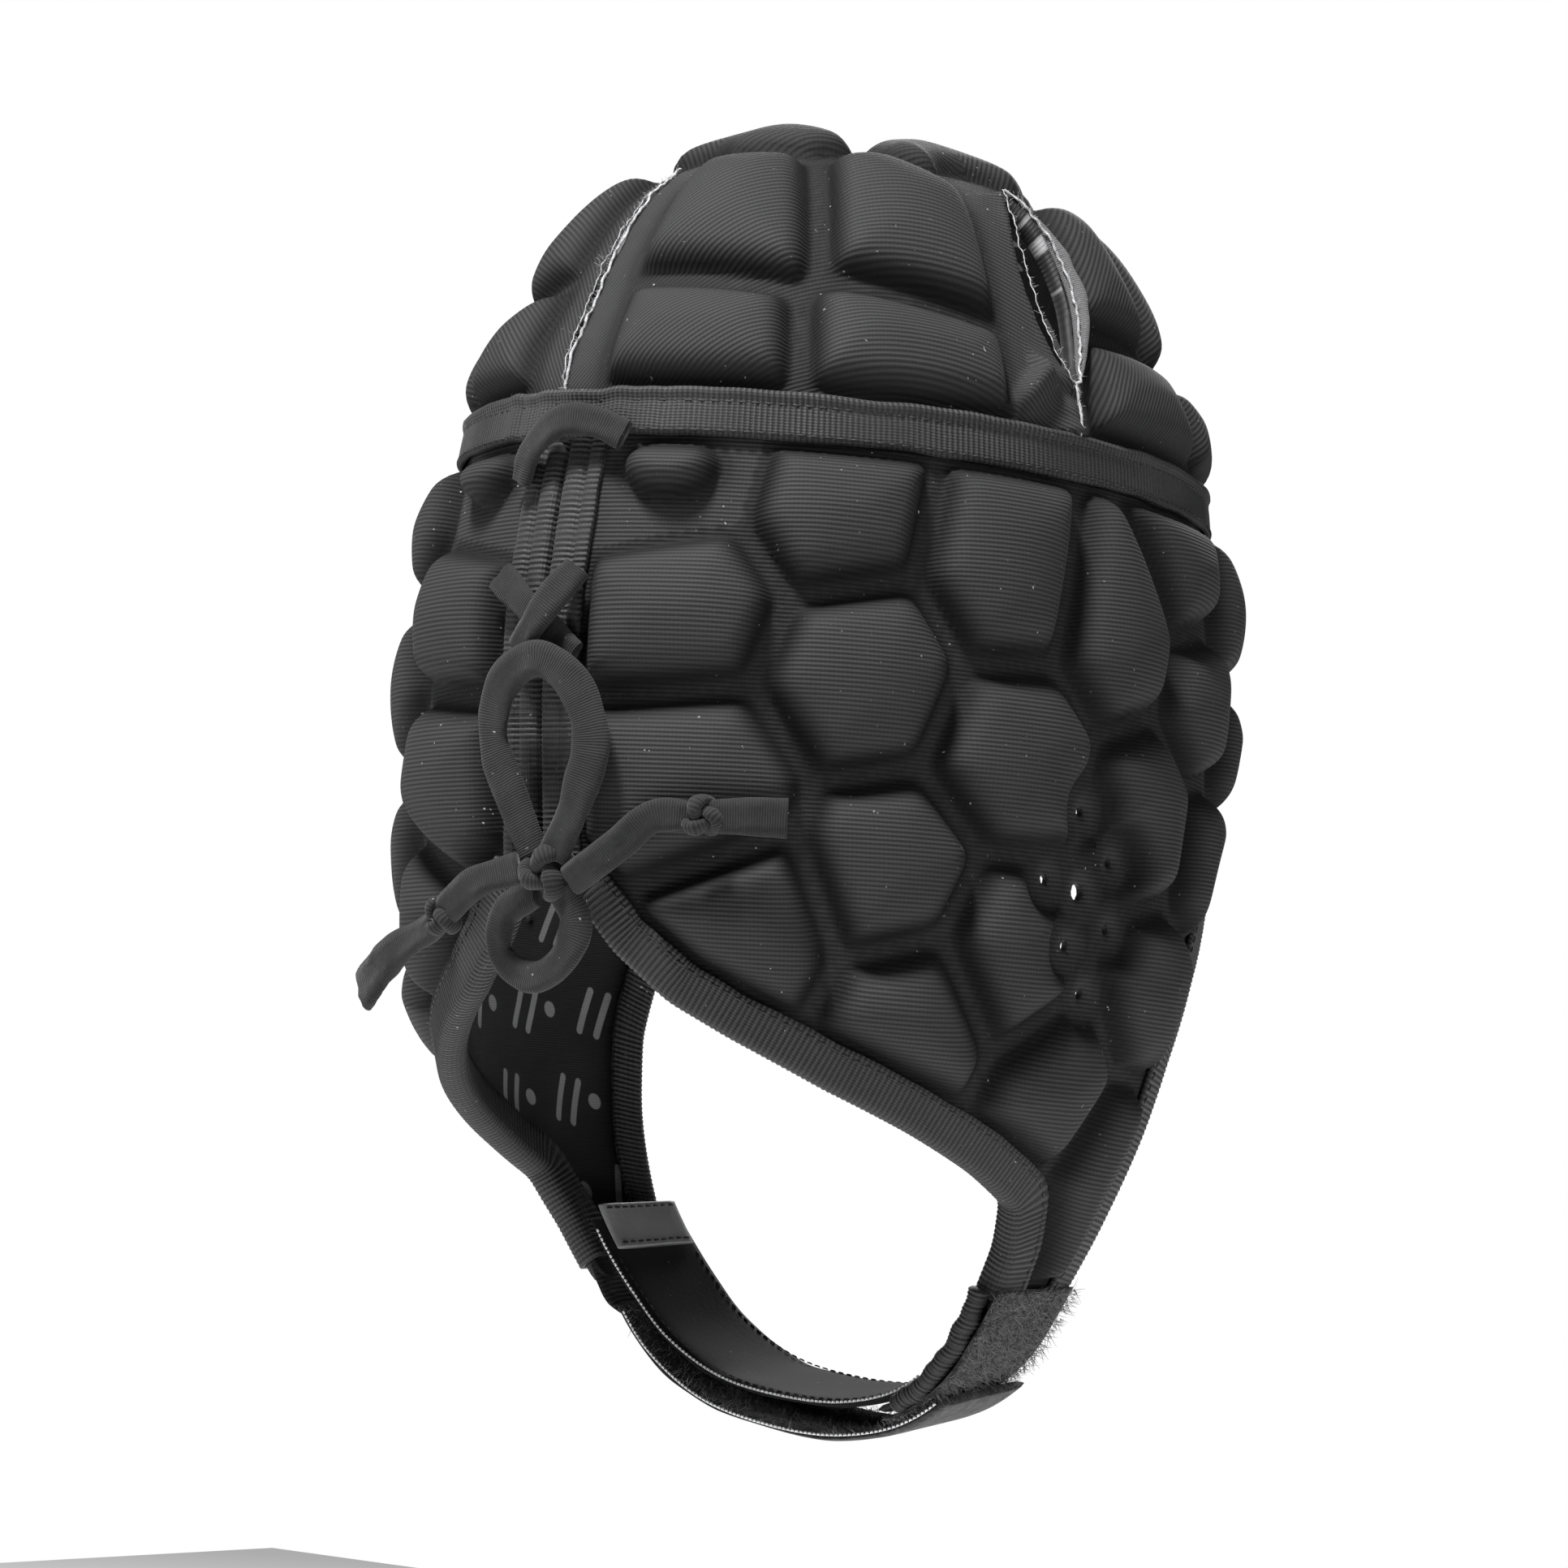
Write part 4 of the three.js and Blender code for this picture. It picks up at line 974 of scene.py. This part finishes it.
def knot_piece(name, place, size, turn, *nodes):
    """Overhand knot: a closed tube tied in itself."""
    t = np.linspace(0, 2 * math.pi, 160, endpoint=False)
    line = np.stack([np.sin(t) + 2 * np.sin(2 * t), np.cos(t) - 2 * np.cos(2 * t), -1.4 * np.sin(3 * t)], -1)
    line *= size * 0.125
    angle, drop, height = place
    normal = outward(angle, -drop)
    east = unit(slopes(angle, -drop)[0])
    north = np.cross(normal, east)
    c, s = math.cos(turn), math.sin(turn)
    line = line @ np.stack([east * c + north * s, -east * s + north * c, normal])
    run = unit(np.roll(line, -1, 0) - np.roll(line, 1, 0))
    side = unit(np.cross(run, unit(line + 1e-6)))
    up = np.cross(side, run)
    radius = size * 0.16 * (1 + 0.12 * waves(t * 6, 3, 1.3))
    rings = oval_rings(line + off(angle, -drop, height), side, up, 1.25 * radius, 0.85 * radius, 14)
    return sweep(name, rings, JERSEY, "lace", *nodes, closed=True)


def laces():
    """Every run of the lace, and the three knots."""
    tied = {name: knot_piece(name + "_knot", place, TAIL_KNOT_DRAWN, 1.1)
            for name, place in TAIL_KNOTS.items()}
    for order, name in enumerate(LACE):
        width = BOW_DRAWN if name == "bow_loop" else LACE_DRAWN
        tube, path = lace_tube(name, width, 20 + 5 * order, FLARES.get(name, 0))
    knot_piece("bow_knot", KNOT_PLACE, KNOT, 0.4, "lace_knot")


# Threads and fibres
def stitch_row(name, path, normal, material, slot, length=2.0, gap=0.9, radius=0.24, lift=0.15):
    """Row of short sewn stitches along a line."""
    far = run_length(path)
    starts = np.arange(0.5, far[-1] - length, length + gap)
    shares, thick = np.array([0.0, 0.12, 0.5, 0.88, 1.0]), np.array([0.35, 0.9, 1.0, 0.9, 0.35])
    sink = np.array([-1.0, -0.2, 0.0, -0.2, -1.0])
    rows, sides = len(shares), 5
    turn = np.linspace(0, 2 * math.pi, sides, endpoint=False)
    quads = [[i * sides + j, i * sides + (j + 1) % sides,
              (i + 1) * sides + (j + 1) % sides, (i + 1) * sides + j]
             for i in range(rows - 1) for j in range(sides)]
    ends = [list(range(sides))[::-1], list(range((rows - 1) * sides, rows * sides))]
    points, faces = [], []
    for number, start in enumerate(starts):
        centre = picked(path, start + shares * length, far)
        up = unit(picked(normal, start + shares * length, far))
        side = unit(np.cross(unit(np.gradient(centre, axis=0)), up))
        middle = centre + up * (lift + sink * radius)[:, None]
        spoke = side[:, None] * np.cos(turn)[None, :, None] + up[:, None] * np.sin(turn)[None, :, None]
        points.append((middle[:, None] + (thick * radius)[:, None, None] * spoke).reshape(-1, 3))
        faces += [[number * rows * sides + k for k in corners] for corners in quads + ends]
    return finished(mesh_piece(name, np.concatenate(points), faces, [material]), slot)


def fibres(name, roots, ways, lengths, radius, material, slot, seed, bend=0.5):
    """Loose fibres: thin bent three-sided strands."""
    made = np.random.default_rng(seed)
    count, sides = len(roots), 3
    side = unit(np.cross(ways, made.normal(size=(count, 3))))
    other = np.cross(ways, side)
    curve = unit(made.normal(size=(count, 3))) * bend
    rings = []
    for t, thick in ((0.0, 1.0), (0.5, 0.85), (1.0, 0.35)):
        centre = roots + (ways * t + curve * t * t) * lengths[:, None]
        for turn in np.linspace(0, 2 * math.pi, sides, endpoint=False):
            rings.append(centre + (side * math.cos(turn) + other * math.sin(turn)) * radius * thick)
    first = np.arange(count)[:, None] * len(rings)
    faces = []
    for i in range(len(rings) // sides - 1):
        for j in range(sides):
            k = (j + 1) % sides
            faces += (first + i * sides + [j, k, sides + k, sides + j]).tolist()
    faces += (first + [2, 1, 0]).tolist()
    faces += (first + len(rings) + [-3, -2, -1]).tolist()
    finished(mesh_piece(name, np.stack(rings, 1).reshape(-1, 3), faces, [material]), slot)


def slit_edge(slit, side, low=SLIT_START, high=SLIT_END, count=160):
    """Angles and ways along one edge of a crown slit."""
    way = np.linspace(low, high, count)
    angle = slit_angle(slit, way)
    per_degree = np.linalg.norm(slopes(angle, way)[0], axis=-1)
    return angle + side * slit_half(slit, way) / per_degree, way


def slit_fray(name, slit, side, seed, thick):
    """Pale torn edge of the cloth along a slit, with loose fibres."""
    angle, way = slit_edge(slit, side)
    far = run_length(face(angle, way))
    normal = outward(angle, way)
    inwards = unit(slopes(angle, way)[0]) * side
    centre = off(angle, way, 0.6 + slit[2] * 0.13 + 0.35 * waves(far, seed, 1.7))
    centre = centre + inwards * (0.25 * waves(far, seed + 1, 2.1))[:, None]
    side_way, up = tube_frames(centre, normal)
    rings = []
    for turn in np.linspace(0, 2 * math.pi, 6, endpoint=False):
        radius = thick * (1 + 0.3 * waves(far + 2 * turn, seed + 2, 2.2))
        aside, lift = radius * math.cos(turn), radius * math.sin(turn)
        rings.append(centre + side_way * aside[:, None] + up * lift[:, None])
    sweep(name, np.stack(rings, 1), FRAY, "padded_knit")
    made = np.random.default_rng(seed)
    count = int(700 * thick)
    pick = made.integers(2, len(centre) - 2, count)
    ways = normal[pick] * made.uniform(0.2, 1, (count, 1))
    ways = ways - inwards[pick] * made.uniform(-0.3, 1, (count, 1))
    ways = unit(ways + made.normal(size=(count, 3)) * 0.4)
    lengths = made.uniform(0.5, 1.6, count)
    fibres(name + "_fibres", centre[pick], ways, lengths, 0.05, FRAY, "padded_knit", seed)


def slit_frays():
    for number, slit in enumerate(CROWN_SLITS):
        for side, word, thick in ((1, "far", 0.32), (-1, "near", 0.13)):
            slit_fray("slit_%d_%s" % (number, word), slit, side, 70 + 3 * number + side, thick)


def slit_lip():
    """Turned edge of cloth that stands up beside the open slit."""
    angle, way = slit_edge(CROWN_SLITS[1], 1, 0.17, 0.6, 120)
    t = np.linspace(0, 1, len(way))
    far = t * 60
    base, normal = off(angle, way, 1.0), outward(angle, way)
    inwards = unit(slopes(angle, way)[0])
    wide = 4.0 * np.sin(math.pi * t) ** 0.7 * (1 + 0.12 * waves(far, 61, 5.0)) + 0.2
    rings = []
    for sign in (1, -1):
        for share in np.linspace(0, 1, 9)[::sign]:
            lift = wide * (0.62 * share + 0.25 * math.sin(math.pi * share)) + sign * 0.3
            aside = wide * 0.75 * share + 0.3 * waves(far + 4 * share, 62, 4.0) * share
            rings.append(base + normal * lift[:, None] + inwards * aside[:, None])
    sweep("slit_lip", np.stack(rings, 1), LIP, "padded_knit")


# Tapes and seams in place
def tape_stitches(name, angle, level, side):
    """Stitches along every third place of a hem's tape, a set way in from the edge."""
    angle, level = angle[4:-4:3], level[4:-4:3]
    a, v = walk(angle, level, inward(angle, level, side), np.full(len(angle), 7.0))
    stitch_row(name, off(a, v, np.full(len(a), FIT + TAPE)), outward(a, v), BLACK_THREAD, "ribbed_tape")


def back_tapes():
    for side, word in ((1, "right"), (-1, "left")):
        level = np.linspace(-(SEAM_TAPE_LOW + FIT) / SKIRT_DROP, -HEM[0][1] - 0.012, 250)
        angle = np.full(len(level), side * math.degrees(BACK_SLIT / HALF_WIDTH))
        node = "back_tape_" + word
        folded_tape(node + "_ribbed", angle, level, side, SLIT_LEG, [node], 1.0, 3 + side, BACK_TAPE_RIB)


def front_seam():
    """Narrow sewn strip over the joint of the side panels at the forehead, outside and inside."""
    count = 90
    t = np.linspace(0, 1, count)
    angle, level = np.full(count, 180.0), -0.012 - (HEM[-1][1] - 0.012) * t
    for word, height in (("outer", 0.5), ("inner", -WALL - 0.3)):
        centre = off(angle, level, np.full(count, height))
        side, up = tube_frames(centre, outward(angle, level))
        rings = oval_rings(centre, side, up, np.full(count, 1.7), 0.75 + 0.1 * np.sin(t * 190), 12)
        sweep("front_seam_" + word, rings, TAPE_CLOTH, "ribbed_tape")


def hem_tapes():
    for side, word in ((1, "right"), (-1, "left")):
        angle, level = edge_span(side, 5, HEM_CORNERS[0], 0.36)
        folded_tape("hem_tape_" + word, angle, level, side, HEM_LEG, ["hem_binding_" + word], seed=6 + side)
        tape_stitches("hem_stitches_" + word, angle, level, side)


def face_tape():
    right, left = (edge_span(side, HEM_CORNERS[1], 180, 0.45) for side in (1, -1))
    angle = np.concatenate([right[0], (360 + left[0][::-1])[1:]])
    level = np.concatenate([right[1], left[1][::-1][1:]])
    folded_tape("face_tape", angle, level, 1, HEM_LEG, ["face_binding"], seed=9)
    tape_stitches("face_stitches", angle, level, 1)


def seam_stitches():
    count = 700
    angle = np.linspace(-179.9, 179.9, count)
    up = np.broadcast_to([0.0, 0, 1], (count, 3))
    for word, reach in (("high", 6.4), ("low", -0.6)):
        a, v = walk(angle, 0 * angle, up, np.full(count, reach))
        line = off(a, v, np.full(count, SEAM_FIT + TAPE + 0.1))
        stitch_row("seam_stitches_" + word, line, outward(a, v), BLACK_THREAD, "ribbed_tape")


# Chin strap
def strap_frames(u, shift):
    """Middle of the strap, its direction across, normal and run at each share of the way."""
    rows = np.array(STRAP_PATH, float)
    corners = np.stack([rows[:, 0] * STRAP_HALF_SPAN, -rows[:, 2] * STRAP_FORWARD,
                        -STRAP_TOP - rows[:, 1] * STRAP_DROP], -1)
    line = resample(catmull(corners, 900), 1200)[0]
    at, places = u * (len(line) - 1), np.arange(len(line))
    centre = picked(line, at, places)
    run = unit(picked(unit(np.gradient(line, axis=0)), at, places))
    tilt = math.radians(STRAP_TILT)
    across = np.array([0, math.cos(tilt), -math.sin(tilt)])
    across = unit(across - run * (run @ across)[:, None])
    centre = centre + across * (shift * np.sin(math.pi * u))[:, None]
    return centre, across, np.cross(run, across), run


def strap_piece(name, layer, width, shift, material, slot, nodes, seed, wobble=0.35, edge=0.0, tip=0.0):
    """Strap layer with soft edges, a little waviness and, with tip, a rounded end."""
    start, end, low, high, thick = STRAPS[layer]
    count = max(24, int(170 * (end - start)))
    u, offset = np.linspace(start, end, count), np.linspace(low, high, count)
    centre, across, normal, _ = strap_frames(u, shift)
    s = np.linspace(-1, 1, 17)
    shape = np.sqrt(np.clip(1 - np.abs(s) ** 9, 0, 1))
    rounding = np.ones(count)
    if tip:
        rounding = np.sqrt(np.clip(1 - (np.clip(u - end + tip, 0, None) / tip) ** 2, 0.02, 1))
    rings = []
    for sign in (1, -1):
        for j in range(len(s))[::sign]:
            half = width / 2 + edge * waves(u * 200, seed + (s[j] > 0), 3.0) * abs(s[j]) ** 4
            lift = offset + thick / 2 + sign * thick / 2 * max(shape[j], 0.12)
            lift = lift + wobble * waves(u * 130 + 3 * s[j], seed + 4, 9.0) * s[j] ** 2
            rings.append(centre + across * (s[j] * rounding * half)[:, None] + normal * lift[:, None])
    sweep(name, np.stack(rings, 1), material, slot, *nodes)


def strap_place(layer, shift, u, s, lift, width=STRAP_WIDTH):
    """Points on a strap layer: share of the way, share of the half width, height over its inner face."""
    start, end, low, high, _ = STRAPS[layer]
    centre, across, normal, run = strap_frames(u, shift)
    height = low + (high - low) * (u - start) / (end - start) + lift
    return centre + across * (s * width / 2)[:, None] + normal * height[:, None], normal, run


def straps():
    """All layers of the strap. The rounded tip of the left flap stands for no node."""
    for name, layer, width, shift, material, slot, *shape in (
            ("strap_inner", "chin_strap_inner", STRAP_WIDTH, 0, STRAP, "strap", 31),
            ("tab_grey", "flap_tab", TAB_WIDTH, 0, TAB, "tab", 33, 0.1),
            ("strap_outer", "chin_strap_outer", STRAP_WIDTH, PILE_SHIFT, PILE, "pile", 35),
            ("flap_extension", "flap_strap_right", STRAP_WIDTH, PILE_SHIFT, KNIT, "ribbed_tape", 37),
            ("flap_tip_left", "flap_tip", STRAP_WIDTH - 5, PILE_SHIFT * 1.5, TAPE_CLOTH, "ribbed_tape",
             38, 0.3, 0.2, 0.07),
            ("loop_face", "loop_patch", STRAP_WIDTH, PILE_SHIFT, PILE, "pile", 39)):
        nodes = [] if layer == "flap_tip" else [layer]
        strap_piece(name, layer, width, shift, material, slot, nodes, *shape)


def extension_hem(name, share, start, end, wide):
    """Wavy ribbed binding that runs down an edge of the flap's extension."""
    u = np.linspace(start, end, 170)
    far = (u - start) * 230
    aside = np.full(len(u), share)
    line, normal, run = strap_place("flap_strap_right", PILE_SHIFT, u, aside, STRAP_THICK / 2)
    line = line + 0.5 * normal * waves(far, 51, 4.0)[:, None]
    rib = RIB_HIGH * np.sin(2 * math.pi * far / TAPE_RIB)
    half = wide / 2 * (1 + 0.1 * waves(far, 52, 6.0)) + rib
    thick = 2.2 * (1 + 0.1 * waves(far, 53, 4.0)) + rib
    rings = oval_rings(line, np.cross(run, normal), normal, half, thick, 16)
    sweep(name, rings, TAPE_CLOTH, "ribbed_tape")


def strap_threads():
    """Whipped pale edges and dark sewn rows of the straps."""
    count = 400
    for layer, shift, low, high in (("chin_strap_inner", 0, 0.075, 0.82),
                                    ("chin_strap_outer", PILE_SHIFT, 0.22, 0.825)):
        line, normal, _ = strap_place(layer, shift, np.linspace(low, high, count), np.ones(count), 0.4)
        stitch_row(layer + "_pale_edge", line, -normal, PALE_THREAD, "strap", 0.9, 0.3, 0.3, 0.15)
    for share, word in ((-0.86, "far"), (0.86, "near")):
        u = np.linspace(0.13, 0.8, count)
        line, normal, _ = strap_place("chin_strap_inner", 0, u, np.full(count, share), 0.0)
        stitch_row("strap_row_" + word, line, -normal, BLACK_THREAD, "strap", 1.6, 0.8, 0.2, 0.1)
    for place, word in ((0.048, "low"), (0.112, "high")):
        s = np.linspace(-0.92, 0.92, 40)
        line, normal, _ = strap_place("flap_tab", 0, np.full(len(s), place), s, 0.0, TAB_WIDTH)
        stitch_row("tab_row_" + word, line, -normal, BLACK_THREAD, "tab", 2.0, 0.8, 0.3, 0.15)


def strap_pile():
    """Fuzzy loops on the closing faces."""
    made = np.random.default_rng(90)
    for name, layer, count, span, aside, lift, way, longest, seed in (
            ("strap_fuzz", "chin_strap_outer", 3000, (0.215, 0.83), (-1.0, 1.03), 0.1, -1, (0.7, 1.7), 91),
            ("loop_fuzz", "loop_patch", 3600, (0.742, 0.985), (-1.04, 1.04), PATCH, 1, (0.8, 2.2), 92)):
        u, s = np.sort(made.uniform(*span, count)), made.uniform(*aside, count)
        roots, normal, _ = strap_place(layer, PILE_SHIFT, u, s, lift)
        ways = unit(way * normal + 0.7 * made.normal(size=(count, 3)))
        fibres(name, roots, ways, made.uniform(*longest, count), 0.08, FIBRE, "pile", seed, 0.9)


# Stage
def light(name, place, aim, size, power):
    data = bpy.data.lights.new(name, "AREA")
    data.shape, data.size, data.energy = "DISK", size, power
    item = bpy.data.objects.new(name, data)
    bpy.context.scene.collection.objects.link(item)
    item.location = place
    item.rotation_mode = "QUATERNION"
    item.rotation_quaternion = (Vector(aim) - Vector(place)).to_track_quat("-Z", "Y")


def floor():
    material = bpy.data.materials.new("pale_floor")
    material.use_nodes = True
    shader = material.node_tree.nodes["Principled BSDF"]
    shader.inputs["Base Color"].default_value = (FLOOR_TONE, FLOOR_TONE, FLOOR_TONE, 1)
    shader.inputs["Roughness"].default_value = 0.9
    corners = [[x * FLOOR_HALF, y * FLOOR_HALF, -FLOOR_DROP] for x, y in ((-1, -1), (1, -1), (1, 1), (-1, 1))]
    mesh_piece("floor", corners, [[0, 1, 2, 3]], [material], smooth=False)


def studio():
    """World that lights the object dimly and shows the camera plain white."""
    world = bpy.data.worlds.new("studio")
    bpy.context.scene.world = world
    world.use_nodes = True
    tree = world.node_tree
    seen, lit = tree.nodes["Background"], tree.nodes.new("ShaderNodeBackground")
    for background in (seen, lit):
        background.inputs["Color"].default_value = (1, 1, 1, 1)
    lit.inputs["Strength"].default_value = AMBIENT
    path, mix = tree.nodes.new("ShaderNodeLightPath"), tree.nodes.new("ShaderNodeMixShader")
    tree.links.new(path.outputs["Is Camera Ray"], mix.inputs[0])
    tree.links.new(lit.outputs[0], mix.inputs[1])
    tree.links.new(seen.outputs[0], mix.inputs[2])
    tree.links.new(mix.outputs[0], tree.nodes["World Output"].inputs["Surface"])
    for name, row in LIGHTS.items():
        light(name, *row)
    bpy.context.scene.view_settings.view_transform = "Standard"


camera()
laces()
side_panel(1, "panel_right", "side_panel_right")
side_panel(-1, "panel_left", "side_panel_left")
crown_piece()
seam_band()
slit_frays()
slit_lip()
back_tapes()
front_seam()
hem_tapes()
face_tape()
seam_stitches()
straps()
extension_hem("extension_hem_rear", 0.95, 0.77, 0.975, 6.5)
extension_hem("extension_hem_front", -0.95, 0.84, 0.975, 5.5)
strap_threads()
strap_pile()
floor()
studio()
